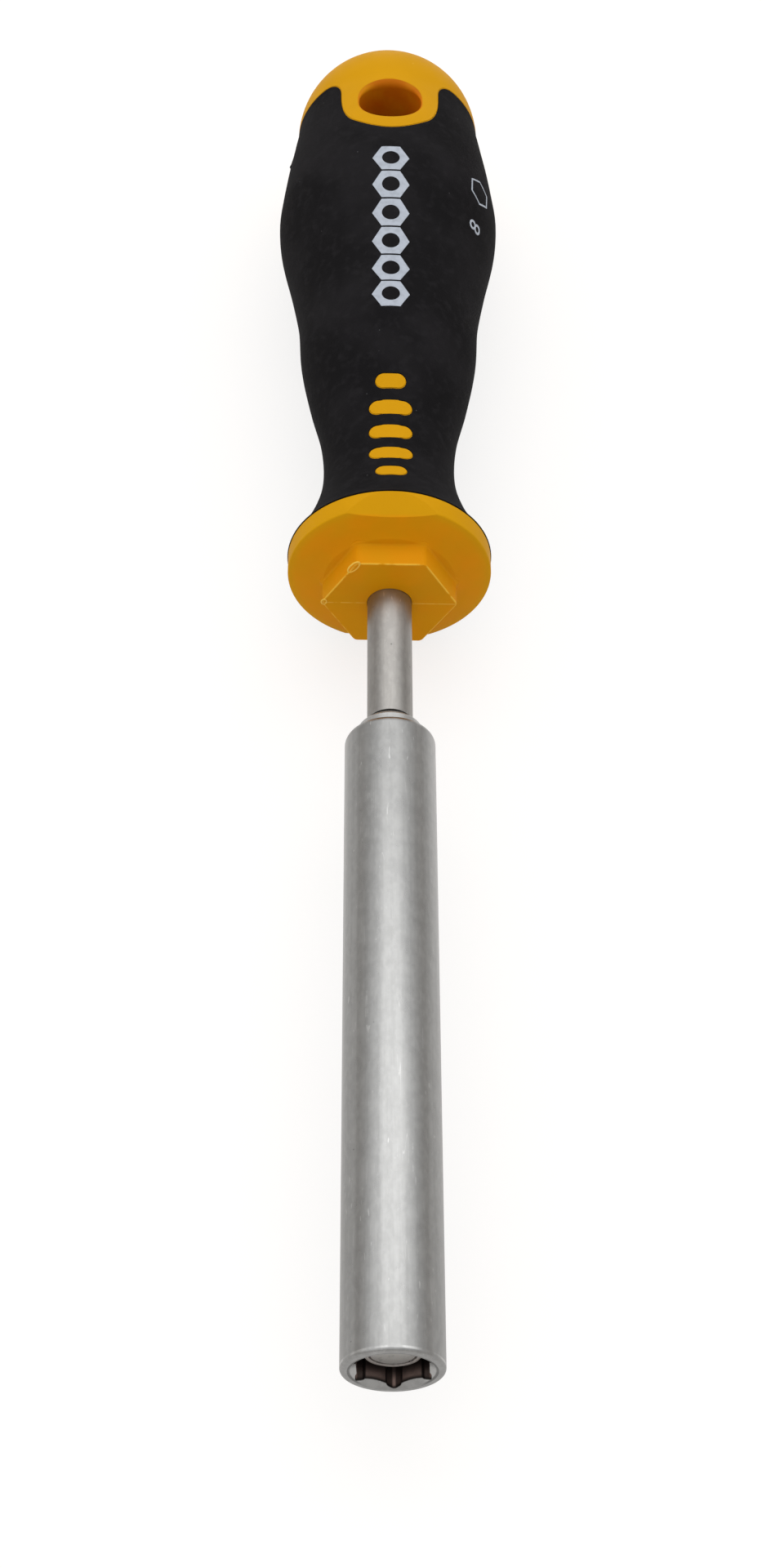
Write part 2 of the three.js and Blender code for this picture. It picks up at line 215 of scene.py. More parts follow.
class NutDriverGrip(bpy.types.PropertyGroup):
    wall: length("Wall", "Thickness of the rubber", 2)
    rib_span: length("Rib span", "Length of an inlaid rib across the tool", 6)
    rib_width: length("Rib width", "Width of an inlaid rib along the tool", 2.4)
    rib_pitch: length("Rib pitch", "Spacing of the ribs", 4.4)
    ribs_place: length("Ribs place", "Distance of the middle rib from the flange", 15.45)
    nut_size: length("Printed nut", "Width of a printed nut across its flats", 4.7)
    nut_bore: length("Printed bore", "Radius of the hole in a printed nut", 1.3)
    nut_pitch: length("Print pitch", "Spacing of the printed nuts", 5.0)
    nut_place: length("Print place", "Distance of the middle printed nut from the mouth", 169.3)
    ink: length("Ink", "Thickness of the print", 0.03)
    mark_size: length("Mark size", "Width of the hexagon printed on the side", 4.4)
    mark_line: length("Mark line", "Width of that hexagon's line", 0.28)
    mark_place: length("Mark place", "Distance of that hexagon from the mouth", 182.6)
    figure_size: length("Figure size", "Height of the printed number", 2.7)
    figure_place: length("Figure place", "Distance of the printed number from the mouth", 175.5)
    mark_turn: angle("Mark turn", "Angle of the side print from the top", 55.5)
    nib_place: length("Nib place", "Distance of the rubber's flash nibs from the mouth", 198.6)
    nib_end: length("Nib end", "Distance at which their ridges fade out", 204)
    nib_size: length("Nib size", "Radius of a nib", 0.42)


class NutDriverColours(bpy.types.PropertyGroup):
    tube: colour("Tube", "Satin chrome of the tube", (0.355, 0.355, 0.35))
    shank: colour("Shank", "Satin chrome of the shank", (0.34, 0.328, 0.312))
    socket: colour("Socket", "Dark film in the broached socket", (0.15, 0.105, 0.092))
    magnet: colour("Magnet", "Dull plate of the magnet", (0.5, 0.49, 0.47))
    cup: colour("Cup", "Worn plate of the cup", (0.44, 0.41, 0.39))
    spring: colour("Spring", "Spring steel", (0.35, 0.35, 0.36))
    yellow: colour("Yellow plastic", "Hard plastic of the handle", (0.635, 0.307, 0.003))
    # painted shade: a deeper yellow for the shaded front faces
    yellow_deep: colour("Deep yellow", "Plastic of the bolster and the flange's face", (0.7, 0.267, 0.002))
    # painted shade: the hanging hole's walls deeper orange
    yellow_bore: colour("Hole yellow", "Plastic in the hanging hole", (0.57, 0.15, 0.002))
    rubber: colour("Rubber", "Soft black overmould", (0.0085, 0.008, 0.0088))
    print: colour("Print", "Pale grey ink", (0.42, 0.46, 0.53))


# Grip outline from the flange to the end cap, as shares of the grip's length and of its largest radius
GRIP_SHARES = (
    (0, 0.851), (0.0109, 0.811), (0.0244, 0.766), (0.0706, 0.661), (0.1275, 0.579), (0.1853, 0.558),
    (0.2542, 0.592), (0.3345, 0.687), (0.4263, 0.771), (0.5181, 0.803), (0.6099, 0.882), (0.7017, 0.977),
    (0.759, 1), (0.8003, 0.983), (0.8738, 0.938), (0.9426, 0.885),
)

# Lengths of the inlaid ribs as shares of the longest, and the number of printed nuts
RIB_SPAN_SHARES = (0.72, 1, 1, 1, 0.72)
PRINTED_NUTS = 6

# Height of a printed figure as a share of its font's size
FIGURE_SHARE = 0.7

# Colours of dirt, wear, dark lines, painted shade and a painted highlight on the metal, the rubber and the
# yellow plastic
# near black of the socket's film, also its painted shade
OIL_AND_SHADE = (0.006, 0.004, 0.004)
# grey of the dark line at the tube's step, also painted shade at the countersink
DARK_LINE_AND_SHADE = (0.035, 0.035, 0.033)
BROWN_GRIME = (0.035, 0.026, 0.018)
STAIN = (0.05, 0.03, 0.02)
GREY_STAIN = (0.1, 0.1, 0.1)
DUST = (0.16, 0.16, 0.165)
SCUFF = (0.8, 0.5, 0.1)
WORN_YELLOW = (0.85, 0.52, 0.06)
# pale flash, also a painted highlight on its ridges
FLASH_AND_HIGHLIGHT_YELLOW = (0.9, 0.58, 0.1)

# Specular level of the two dull plastics
DULL_SHEEN = 0.04


def settings(group):
    return getattr(bpy.context.scene, "nut_driver_" + group)


class Skin:
    """The handle's outer skin: its radius at a place along the tool, and its height over the plan."""

    def __init__(self):
        handle = settings("handle")
        self.rim = BOLSTER_FRONT + handle.bolster_height + handle.flange_rise
        self.front = self.rim + handle.rim_width
        self.hole = TOOL_REAR - handle.hole_from_end
        self.rear = TOOL_REAR - handle.cap_radius
        self.cap = handle.cap_radius
        run = self.rear - self.front
        self.places = [self.front + along * run for along, _ in GRIP_SHARES] + [self.rear]
        self.radii = [width * GRIP_RADIUS for _, width in GRIP_SHARES] + [self.cap]
        last = len(self.places) - 1
        self.slopes = [self.slope(max(i - 1, 0), min(i + 1, last)) for i in range(last)] + [0]

    def slope(self, i, j):
        return (self.radii[j] - self.radii[i]) / (self.places[j] - self.places[i])

    def radius(self, place):
        if place >= self.rear:
            return math.sqrt(max(self.cap**2 - (place - self.rear) ** 2, 0))
        i = min(max(bisect_right(self.places, place) - 1, 0), len(self.places) - 2)
        step = self.places[i + 1] - self.places[i]
        t = (place - self.places[i]) / step
        value = (
            self.radii[i] * (1 + 2 * t) * (1 - t) ** 2
            + self.slopes[i] * step * t * (1 - t) ** 2
            + self.radii[i + 1] * t * t * (3 - 2 * t)
            + self.slopes[i + 1] * step * t * t * (t - 1)
        )
        return min(value, GRIP_RADIUS)

    def height(self, x, place):
        return math.sqrt(max(self.radius(place) ** 2 - x * x, 0))

    def outline(self, front, rear, depth=0):
        steps = round((rear - front) / settings("fineness").skin_step)
        places = [front + (rear - front) * i / steps for i in range(steps + 1)]
        return [(self.radius(place) - depth, place) for place in places]

    def dome(self):
        steps = 3 * settings("fineness").arc_steps
        return arc(0, self.rear, self.cap, 0, 90, steps)


def arc(radius, place, size, start, end, steps):
    """Outline points along an arc about (radius, place), between two angles in degrees."""
    turns = [math.radians(start + (end - start) * i / steps) for i in range(steps + 1)]
    return [(radius + size * math.cos(turn), place + size * math.sin(turn)) for turn in turns]


def bend(start, corner, end, steps):
    """Points of a quadratic curve, without its first one."""
    shares = [i / steps for i in range(1, steps + 1)]
    return [
        tuple(a * (1 - t) ** 2 + 2 * b * t * (1 - t) + c * t * t for a, b, c in zip(start, corner, end))
        for t in shares
    ]


def spun(outline, sides=None):
    """Turns an outline of (radius, place) points about the tool's axis, round or with a few flat sides."""
    steps = sides or settings("fineness").facets
    shape = bmesh.new()
    points = [shape.verts.new((radius, place, 0)) for radius, place in outline]
    for pair in zip(points, points[1:]):
        shape.edges.new(pair)
    bmesh.ops.spin(
        shape, geom=shape.verts[:] + shape.edges[:], cent=(0, 0, 0), axis=(0, 1, 0),
        angle=FULL_TURN, steps=steps, use_merge=True)
    return closed(shape)


def walled(outside, inside):
    """Turned solid between two outlines."""
    return spun([*outside, *reversed(inside), outside[0]])


def stepped(*steps, rear):
    """Turned solid of cylinders in a row, each given by its radius and its front."""
    outline = [(0, steps[0][1])]
    for (radius, front), (_, end) in zip(steps, [*steps[1:], (0, rear)]):
        outline += [(radius, front), (radius, end)]
    return spun([*outline, (0, rear)])


def closed(shape):
    bmesh.ops.remove_doubles(shape, verts=shape.verts[:], dist=WELD)
    bmesh.ops.recalc_face_normals(shape, faces=shape.faces[:])
    return shape


def rounded(shape, edges, width, segments):
    bmesh.ops.bevel(
        shape, geom=edges, offset=width, offset_type="OFFSET", affect="EDGES", segments=segments,
        profile=0.5, material=-1, clamp_overlap=True)
    return shape


def softened(shape, width, segments=3):
    """Rounds every sharp edge of a shape."""
    sharp = [edge for edge in shape.edges if edge.is_manifold and edge.calc_face_angle() > CREASE]
    return rounded(shape, sharp, width, segments)


def prism(outline, low, high):
    """Upright solid over a plan outline of (x, place) points."""
    shape = bmesh.new()
    floor = shape.faces.new([shape.verts.new((x, place, low)) for x, place in outline])
    raised = bmesh.ops.extrude_face_region(shape, geom=[floor])["geom"]
    tops = [item for item in raised if isinstance(item, bmesh.types.BMVert)]
    bmesh.ops.translate(shape, verts=tops, vec=(0, 0, high - low))
    return closed(shape)


def block(size, place):
    """Box of three sizes, carried to its place by a matrix."""
    shape = bmesh.new()
    bmesh.ops.create_cube(shape, size=1, matrix=place @ Matrix.Diagonal((*size, 1)))
    return closed(shape)


def six_sided(radius, front, rear, turn, places=(Matrix(),), soft=0):
    """Hexagon bars along the tool, one at each place, their corners up and down before the turn."""
    shape = bmesh.new()
    for place in places:
        bmesh.ops.create_cone(
            shape, cap_ends=True, segments=6, radius1=radius, radius2=radius, depth=rear - front,
            matrix=place)
    if soft:
        softened(shape, soft)
    lying = Matrix.Translation((0, (front + rear) / 2, 0)) @ Matrix.Rotation(math.pi / 2, 4, "X")
    bmesh.ops.transform(shape, verts=shape.verts, matrix=lying @ Matrix.Rotation(turn, 4, "Z"))
    return closed(shape)


def linked(name, data):
    """An object that shows its data in the scene."""
    piece = bpy.data.objects.new(name, data)
    bpy.context.scene.collection.objects.link(piece)
    return piece


def hung(name, shape):
    """An object that carries a shape into the scene."""
    mesh = bpy.data.meshes.new(name)
    shape.to_mesh(mesh)
    shape.free()
    return linked(name, mesh)


def dropped(*pieces):
    for piece in pieces:
        data = piece.data
        bpy.data.objects.remove(piece)
        if isinstance(data, bpy.types.Mesh):
            bpy.data.meshes.remove(data)
        else:
            bpy.data.curves.remove(data)


def taken(*pieces):
    """The first object's shape, as its modifiers or its curve make it. The objects are then dropped."""
    seen = pieces[0].evaluated_get(bpy.context.evaluated_depsgraph_get())
    shape = bmesh.new()
    shape.from_mesh(seen.to_mesh())
    seen.to_mesh_clear()
    dropped(*pieces)
    return shape


def gathered(shapes):
    """Shapes that stay apart, in one."""
    whole = bmesh.new()
    for shape in shapes:
        piece = hung("part", shape)
        whole.from_mesh(piece.data)
        dropped(piece)
    return whole


def joined(shape, tool, operation):
    """A shape with a tool's space taken away, added or kept in common."""
    body, cutter = hung("body", shape), hung("cutter", tool)
    boolean = body.modifiers.new("joined", "BOOLEAN")
    boolean.operation = operation
    boolean.solver = "MANIFOLD"
    boolean.object = cutter
    result = taken(body, cutter)
    if not result.faces or any(not edge.is_manifold for edge in result.edges):
        raise RuntimeError(f"the {operation.lower()} left an open or empty shape")
    return result


def cut(shape, *tools):
    for tool in tools:
        shape = joined(shape, tool, "DIFFERENCE")
    return shape


def added(shape, *tools):
    for tool in tools:
        shape = joined(shape, tool, "UNION")
    return shape


def bead(points, radius, cyclic=True, widths=None):
    """A round wire along points, with a share of its radius at each point where widths are given."""
    curve = bpy.data.curves.new("bead", "CURVE")
    curve.dimensions = "3D"
    curve.bevel_depth = radius
    curve.bevel_resolution = 2
    curve.use_fill_caps = not cyclic
    line = curve.splines.new("POLY")
    line.points.add(len(points) - 1)
    for knot, point, width in zip(line.points, points, widths or [1] * len(points)):
        knot.co = (*point, 1)
        knot.radius = width
    line.use_cyclic_u = cyclic
    return closed(taken(linked("bead", curve)))


def finished(name, shape, body, finish, slot, *nodes):
    """Places a shape in the frame as a smooth piece that rides on a body and stands for its nodes."""
    bmesh.ops.translate(shape, verts=shape.verts, vec=(0, MOUTH, AXIS_HEIGHT))
    bmesh.ops.dissolve_degenerate(shape, edges=shape.edges[:], dist=WELD)
    piece = hung(name, shape)
    piece.data.materials.append(finish)
    piece.data.shade_smooth()
    piece.data.set_sharp_from_angle(angle=CREASE)
    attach(piece, body)
    if nodes:
        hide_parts(*nodes)
    return piece


class Signal:
    """One output of a shader node. Python's arithmetic signs on signals add Math nodes."""

    def __init__(self, nodes, socket):
        self.nodes = nodes
        self.socket = socket

    def __add__(self, other):
        return self.nodes.maths("ADD", self, other)

    def __sub__(self, other):
        return self.nodes.maths("SUBTRACT", self, other)

    def __rsub__(self, other):
        return self.nodes.maths("SUBTRACT", other, self)

    def __mul__(self, other):
        return self.nodes.maths("MULTIPLY", self, other)

    def __truediv__(self, other):
        return self.nodes.maths("DIVIDE", self, other)

    def __pow__(self, other):
        return self.nodes.maths("POWER", self, other)

    def __abs__(self):
        return self.nodes.maths("ABSOLUTE", self)

    __radd__ = __add__
    __rmul__ = __mul__


class Nodes:
    """A node tree that is being made."""

    def __init__(self, tree):
        self.tree = tree
        self.tree.nodes.clear()

    def fill(self, socket, value):
        if isinstance(value, Signal):
            self.tree.links.new(value.socket, socket)
        elif hasattr(socket.default_value, "__len__") and len(socket.default_value) == 4:
            socket.default_value = (*value, 1)
        else:
            socket.default_value = value

    def named(self, sockets, name):
        if isinstance(name, int):
            return sockets[name]
        return next(socket for socket in sockets if name in (socket.identifier, socket.name))

    def node(self, kind, settings=None, sockets=None, output=0):
        """A node of one type, its settings made first, then its sockets given values or links."""
        made = self.tree.nodes.new(kind)
        for name, value in (settings or {}).items():
            setattr(made, name, value)
        for name, value in (sockets or {}).items():
            self.fill(self.named(made.inputs, name), value)
        return Signal(self, self.named(made.outputs, output)) if len(made.outputs) else None

    def maths(self, operation, *values):
        return self.node("ShaderNodeMath", {"operation": operation}, dict(enumerate(values)))

    def ramp(self, value, start, end, low=0.0, high=1.0):
        """Smooth step from low at start to high at end."""
        return self.node(
            "ShaderNodeMapRange", {"interpolation_type": "SMOOTHSTEP", "clamp": True},
            {"Value": value, "From Min": start, "From Max": end, "To Min": low, "To Max": high})

    def fade(self, value, place, start, end):
        """Smooth step from 0 to 1 between two distances from a place, in millimetres."""
        return self.ramp(value, place + start * MM, place + end * MM)

    def line(self, value, place, outer, inner):
        """1 within an inner distance of a place and 0 beyond an outer one, in millimetres."""
        return self.fade(abs(value - place), 0, outer, inner)

    def mix(self, factor, low, high):
        """Colour between two colours."""
        return self.node(
            "ShaderNodeMix", {"data_type": "RGBA"},
            {"Factor_Float": factor, "A_Color": low, "B_Color": high}, "Result_Color")

    def over(self, tone, *layers):
        """Colour under layers, each given by its mask and its own colour."""
        for mask, coat in layers:
            tone = self.mix(mask, tone, coat)
        return tone

    def blend(self, factor, low, high):
        """Shader between two shaders."""
        return self.node("ShaderNodeMixShader", {}, {0: factor, 1: low, 2: high})


class Finish(Nodes):
    """A material that is being made, with its shader and the places on the piece that its patterns read."""

    def __init__(self, name):
        self.material = bpy.data.materials.new(name)
        self.material.use_nodes = True
        super().__init__(self.material.node_tree)
        self.shader = self.node("ShaderNodeBsdfPrincipled")
        self.node("ShaderNodeOutputMaterial", {}, {"Surface": self.shader})
        object_place = self.node("ShaderNodeTexCoord", {}, {}, "Object")
        self.place = self.node(
            "ShaderNodeMapping", {"vector_type": "POINT"},
            {"Vector": object_place, "Location": (0, -MOUTH, -AXIS_HEIGHT)})
        axes = [self.node("ShaderNodeSeparateXYZ", {}, {"Vector": self.place}, axis) for axis in "XYZ"]
        self.across, self.along, self.up = axes

    def give(self, **sockets):
        """Gives the shader's sockets their values or links, named with underscores for spaces."""
        shader = self.shader.socket.node
        for name, value in sockets.items():
            self.fill(self.named(shader.inputs, name.replace("_", " ")), value)
        return self.material

    def stretched(self, across, along):
        """The place on the piece, scaled across and along the tool."""
        return self.node("ShaderNodeMapping", {}, {"Vector": self.place, "Scale": (across, along, across)})

    def noise(self, size, detail=2, vector=None, roughness=0.5):
        """Soft random pattern, from 0 to 1, with blots of about one size in metres."""
        return self.node(
            "ShaderNodeTexNoise", {"noise_dimensions": "3D"},
            {"Vector": vector or self.place, "Scale": 1 / size, "Detail": detail, "Roughness": roughness})

    def specks(self, spacing, radius, share):
        """Scattered round specks: 1 inside a speck, 0 elsewhere, kept on a share of the cells."""
        cells = {"Vector": self.place, "Scale": 1 / spacing}
        distance = self.node("ShaderNodeTexVoronoi", {}, cells, "Distance")
        tone = self.node("ShaderNodeTexVoronoi", {}, cells, "Color")
        pick = self.node("ShaderNodeSeparateColor", {}, {"Color": tone}, "Red")
        inside = self.ramp(distance, radius / spacing, 0.4 * radius / spacing)
        return inside * self.ramp(pick, share, 0.9 * share)

    def radial(self):
        """Distance from the tool's axis."""
        return (self.across * self.across + self.up * self.up) ** 0.5

    def bump(self, height, depth):
        """Normal pushed about by a height pattern from 0 to 1, with its full depth in metres."""
        return self.node("ShaderNodeBump", {}, {"Height": height, "Distance": depth, "Strength": 1.0})


def tinted(tone, factor):
    return tuple(min(channel * factor, 1) for channel in tone)


def chrome(name, tone, roughness):
    """Satin plate: lengthwise grain and streaks, cloudy patches, scratches, nicks and a few pits."""
    finish = Finish(name)
    grain = finish.noise(1, 3, finish.stretched(5200, 260))
    streaks = finish.noise(1, 2, finish.stretched(1100, 14))
    clouds = finish.noise(2.6 * MM, 4, roughness=0.6)
    blotches = finish.noise(0.55 * MM, 3, finish.stretched(1, 0.45))
    hairs = finish.noise(1, 1, finish.stretched(900, 45))
    scratch = finish.ramp(abs(hairs - 0.5), 0.006, 0.001) * finish.ramp(clouds, 0.52, 0.6)
    nicks = finish.noise(1, 1, finish.stretched(2600, 520))
    nicked = finish.ramp(nicks, 0.71, 0.76) * finish.ramp(finish.noise(7 * MM, 2), 0.5, 0.6)
    pits = finish.specks(2.4 * MM, 0.16 * MM, 0.16)
    plate = finish.over(
        tinted(tone, 0.93),
        (finish.ramp(clouds, 0.35, 0.68), tinted(tone, 1.07)),
        (finish.ramp(streaks, 0.4, 0.6) * 0.6, tinted(tone, 0.86)),
        (finish.ramp(blotches, 0.4, 0.7) * 0.5, tinted(tone, 1.12)),
        (pits * 0.55, tinted(tone, 0.35)),
        (scratch * 0.5 + nicked * 0.6, tinted(tone, 1.6)),
    )
    gloss = roughness + (clouds - 0.5) * 0.12 + (grain - 0.5) * 0.1 + pits * 0.15
    relief = grain * 0.5 + blotches * 0.5 - scratch * 0.6 - pits
    finish.give(Metallic=1.0, Roughness=gloss, Normal=finish.bump(relief, 0.006 * MM))
    return finish, plate


def socket_film(finish, under_cone):
    """Colour of the socket: a dark oily film, with painted shade in its corner grooves, along their cut
    edges and deeper in, a painted highlight down each groove's middle along the corners, and darkest just
    inside the countersink.
    """
    tube, tone = settings("tube"), settings("colours").socket
    sixth = math.pi / 6
    turned = finish.maths("ARCTAN2", finish.across, finish.up)
    from_corner = finish.maths("PINGPONG", turned + tube.socket_turn, sixth)
    beside = finish.radial() * finish.maths("SINE", from_corner)
    half = tube.relief_radius * math.cos(sixth)
    groove = finish.fade(beside, half, 0.02, -0.12)
    groove_highlight = finish.fade(beside, 0, 0.3, 0.05)
    depth = finish.fade(finish.along, 0, 0.9, 2.4)
    edge = finish.line(beside, half, 0.16, 0.04)
    return finish.over(
        tinted(tone, 0.8),
        (finish.noise(0.8 * MM, 3), tinted(tone, 1.7)),
        # painted shade: the corner grooves darkened
        (groove * 0.7, tinted(tone, 0.25)),
        # painted highlight: a pale stripe down the middle of each groove
        (groove_highlight * 0.8, tinted(tone, 3.2)),
        # painted shade: near black deeper into the socket and along the grooves' cut edges
        (depth * 0.85, OIL_AND_SHADE),
        (edge * 0.9, OIL_AND_SHADE),
        # near black in a band just inside the countersink's lower edge
        (finish.fade(under_cone, 0, 0.55, 0.1) * 0.95, OIL_AND_SHADE),
    )


def tube_finish():
    """Satin plate with a worn front edge that is also a painted highlight, a painted highlight on the neck,
    a dark line before the step, painted shade and highlight at the countersink's sides, and a film inside.
    """
    tube, tone = settings("tube"), settings("colours").tube
    finish, plate = chrome("satin_chrome_tube", tone, 0.3)
    radial, along = finish.radial(), finish.along
    mouth_radius = TUBE_RADIUS - tube.edge_round - tube.mouth_land
    fall = (mouth_radius - tube.across_flats / 2) / tube.mouth_depth
    under_cone = along - (mouth_radius - radial) / fall
    inside = finish.fade(radial, mouth_radius, 0.2, 0.1)
    ahead = finish.fade(along, tube.spring_seat, 1, 0)
    film = finish.fade(under_cone, 0, 0.03, 0.1) * inside * ahead
    outer = finish.fade(radial, TUBE_RADIUS, -0.14, -0.05)
    front = finish.line(along, 0.48 * MM, 0.2, 0.08) * outer
    chips = finish.ramp(finish.noise(2.4 * MM, 4), 0.4, 0.6)
    step = TUBE_REAR - tube.neck_front
    neck = finish.fade(along, step, 0.05, 0.3)
    dirt = finish.line(along, step - 0.14 * MM, 0.4, 0.2)
    beside = finish.fade(abs(finish.across), 0, 3.2, 4.1) * finish.fade(along, 0, 0.9, 0.5)
    rim_shade = finish.line(radial, mouth_radius, 0.16, 0.05) * beside
    cone_highlight = finish.fade(radial, mouth_radius, -0.1, -0.22) * beside
    worn = finish.over(
        plate,
        # a worn, chipped front edge that is also a painted highlight, and a painted highlight on the neck
        (front * chips * 0.5 + neck * 0.4, tinted(tone, 2.0)),
        # painted highlight: the countersink's sides lighter
        (cone_highlight * 0.5, tinted(tone, 1.7)),
        # a dark line just before the step, and painted shade as dark rings round the countersink on its
        # sides
        (dirt * 0.95 + rim_shade * 0.6, DARK_LINE_AND_SHADE),
        (film, socket_film(finish, under_cone)),
    )
    return finish.give(Base_Color=worn, Metallic=1 - film * 0.6)


def shank_finish():
    """Satin plate with brown dirt where the shank steps down into the tube."""
    finish, plate = chrome("satin_chrome_shank", settings("colours").shank, 0.42)
    hidden = finish.ramp(
        finish.radial(), SHANK_RADIUS - 0.15 * MM, settings("shank").spigot_radius + 0.2 * MM)
    return finish.give(Base_Color=finish.mix(hidden, plate, BROWN_GRIME))


def plate_finish(name, tone, stain, roughness):
    """Dull plate with stains and nicks."""
    finish = Finish(name)
    blots = finish.noise(1.1 * MM, 5, roughness=0.65)
    fine = finish.noise(0.12 * MM, 2)
    stained = finish.over(
        tone,
        (finish.ramp(blots, 0.5, 0.68), tinted(tone, 0.72)),
        (finish.specks(0.9 * MM, 0.13 * MM, 0.3), stain),
    )
    return finish.give(
        Base_Color=stained, Metallic=0.9, Roughness=roughness + (blots - 0.5) * 0.25,
        Normal=finish.bump(fine * 0.4 + blots, 0.02 * MM))


def yellow_finish():
    """Hard moulded plastic: cloudy, finely grained and scuffed, with pale worn edges on the bolster, a
    deeper yellow of painted shade on the bolster, the flange's face and in the hanging hole, and pale flash
    that is also a painted highlight.
    """
    tones, handle, skin = settings("colours"), settings("handle"), Skin()
    finish = Finish("yellow_plastic")
    along = finish.along
    clouds = finish.noise(6 * MM, 3)
    grain = finish.noise(0.16 * MM, 3)
    scuffs = finish.specks(3.2 * MM, 0.22 * MM, 0.18)
    front = finish.fade(along, skin.rim, 0.1, -0.3)
    from_hole = along - skin.hole
    rearward = finish.ramp(from_hole, 0, handle.hole_radius)
    radial = (finish.across**2 + from_hole**2) ** 0.5
    past_bore = radial - handle.hole_radius - rearward * 0.65 * handle.hole_round_rear
    hole_shade_mask = finish.fade(past_bore, 0, 0.35, 0.05)
    half = handle.bolster_flats / 2
    slanted = abs(finish.across) * math.sin(math.pi / 3) + abs(finish.up) * 0.5
    spread = finish.maths("MAXIMUM", slanted, abs(finish.up))
    rim = finish.fade(spread, half, -0.24, -0.06)
    face = finish.fade(along, BOLSTER_FRONT, 0.24, 0.08)
    worn = finish.ramp(finish.noise(1.2 * MM, 3), 0.32, 0.5) * face
    proud = finish.fade(along, BOLSTER_FRONT, -0.01, -0.05)
    parting = finish.line(finish.up, 0, 0.13, 0.04) * worn
    tone = finish.over(
        tones.yellow,
        # painted shade: the bolster and the flange's face a deeper yellow
        (front, tones.yellow_deep),
        # painted shade: the hanging hole's walls deeper orange, darker towards its rear
        (hole_shade_mask, finish.mix(rearward, tones.yellow_bore, tinted(tones.yellow_bore, 0.8))),
        (finish.ramp(clouds, 0.3, 0.7) * 0.5, tinted(tones.yellow, 0.93)),
        (scuffs * 0.25, SCUFF),
        (rim * worn * 0.75, WORN_YELLOW),
        # pale flash beads and parting line, also a painted highlight on their ridges
        (proud * 0.8 + parting * 0.45, FLASH_AND_HIGHLIGHT_YELLOW),
    )
    gloss = 0.5 + (clouds - 0.5) * 0.12 + (grain - 0.5) * 0.08
    return finish.give(
        Base_Color=tone, Roughness=gloss, Normal=finish.bump(grain, 0.012 * MM),
        Specular_IOR_Level=DULL_SHEEN)


def rubber_finish():
    """Soft black overmould: matte grain, handling haze and pale dust."""
    tone = settings("colours").rubber
    finish = Finish("black_rubber")
    haze = finish.noise(9 * MM, 4)
    grain = finish.noise(0.22 * MM, 4)
    coarse = finish.noise(1.3 * MM, 3)
    dust = finish.specks(1.7 * MM, 0.11 * MM, 0.16)
    lint = finish.specks(4.5 * MM, 0.2 * MM, 0.2)
    dusty = finish.over(
        tone,
        (finish.ramp(haze, 0.35, 0.7), tinted(tone, 1.7)),
        (finish.ramp(coarse, 0.45, 0.75) * 0.5, tinted(tone, 2.2)),
        (dust * 0.5 + lint * 0.4, DUST),
    )
    gloss = 0.8 + (haze - 0.5) * 0.2 + (grain - 0.5) * 0.15
    return finish.give(
        Base_Color=dusty, Roughness=gloss, Normal=finish.bump(grain + coarse * 0.6, 0.03 * MM),
        Specular_IOR_Level=DULL_SHEEN)


def ink_finish():
    """Pale ink, worn in patches."""
    tone = settings("colours").print
    finish = Finish("pale_ink")
    wear = finish.noise(0.9 * MM, 4)
    grain = finish.noise(0.22 * MM, 4)
    worn = finish.mix(finish.ramp(wear, 0.4, 0.75), tone, tinted(tone, 0.82))
    return finish.give(Base_Color=worn, Roughness=0.5, Normal=finish.bump(grain, 0.02 * MM))


def tube_shape():
    tube, fine = settings("tube"), settings("fineness")
    step, chamfer = TUBE_REAR - tube.neck_front, tube.neck_chamfer
    shoulder = (TUBE_RADIUS, step - tube.shoulder)
    crest, foot = (TUBE_RADIUS, step - 0.35 * tube.shoulder), (TUBE_RADIUS - tube.shoulder_drop, step)
    edge = tube.edge_round
    outside = softened(spun([
        (0, 0), *arc(TUBE_RADIUS - edge, edge, edge, -90, 0, fine.arc_steps),
        shoulder, *bend(shoulder, crest, foot, fine.arc_steps),
        (tube.neck_radius, step + 0.1 * MM), (tube.neck_radius, TUBE_REAR - chamfer),
        (tube.neck_radius - chamfer, TUBE_REAR), (0, TUBE_REAR),
    ]), fine.edge)
    half, corner = tube.across_flats / 2, tube.across_flats / math.sqrt(3)
    mouth_radius = TUBE_RADIUS - edge - tube.mouth_land
    slope = (mouth_radius - half) / tube.mouth_depth
    countersink = spun([
        (0, -OVERRUN), (mouth_radius + slope * OVERRUN, -OVERRUN), (half, tube.mouth_depth),
        (0, tube.mouth_depth),
    ])
    reach = corner + tube.relief_reach - tube.relief_radius
    corners = [
        Matrix.Rotation(FULL_TURN * i / 6, 4, "Z") @ Matrix.Translation((0, -reach, 0)) for i in range(6)]
    ends = (-OVERRUN, tube.socket_depth, tube.socket_turn)
    bore = stepped(
        (tube.bore, tube.socket_depth - OVERRUN),
        (tube.bore + tube.groove_depth, tube.groove_place),
        (tube.bore, tube.groove_place + tube.groove_width),
        (tube.rear_bore, tube.spring_seat),
        rear=TUBE_REAR + OVERRUN)
    socket = six_sided(corner, *ends)
    reliefs = six_sided(tube.relief_radius, *ends, corners, RELIEF_EDGE)
    return cut(outside, countersink, socket, reliefs, bore)


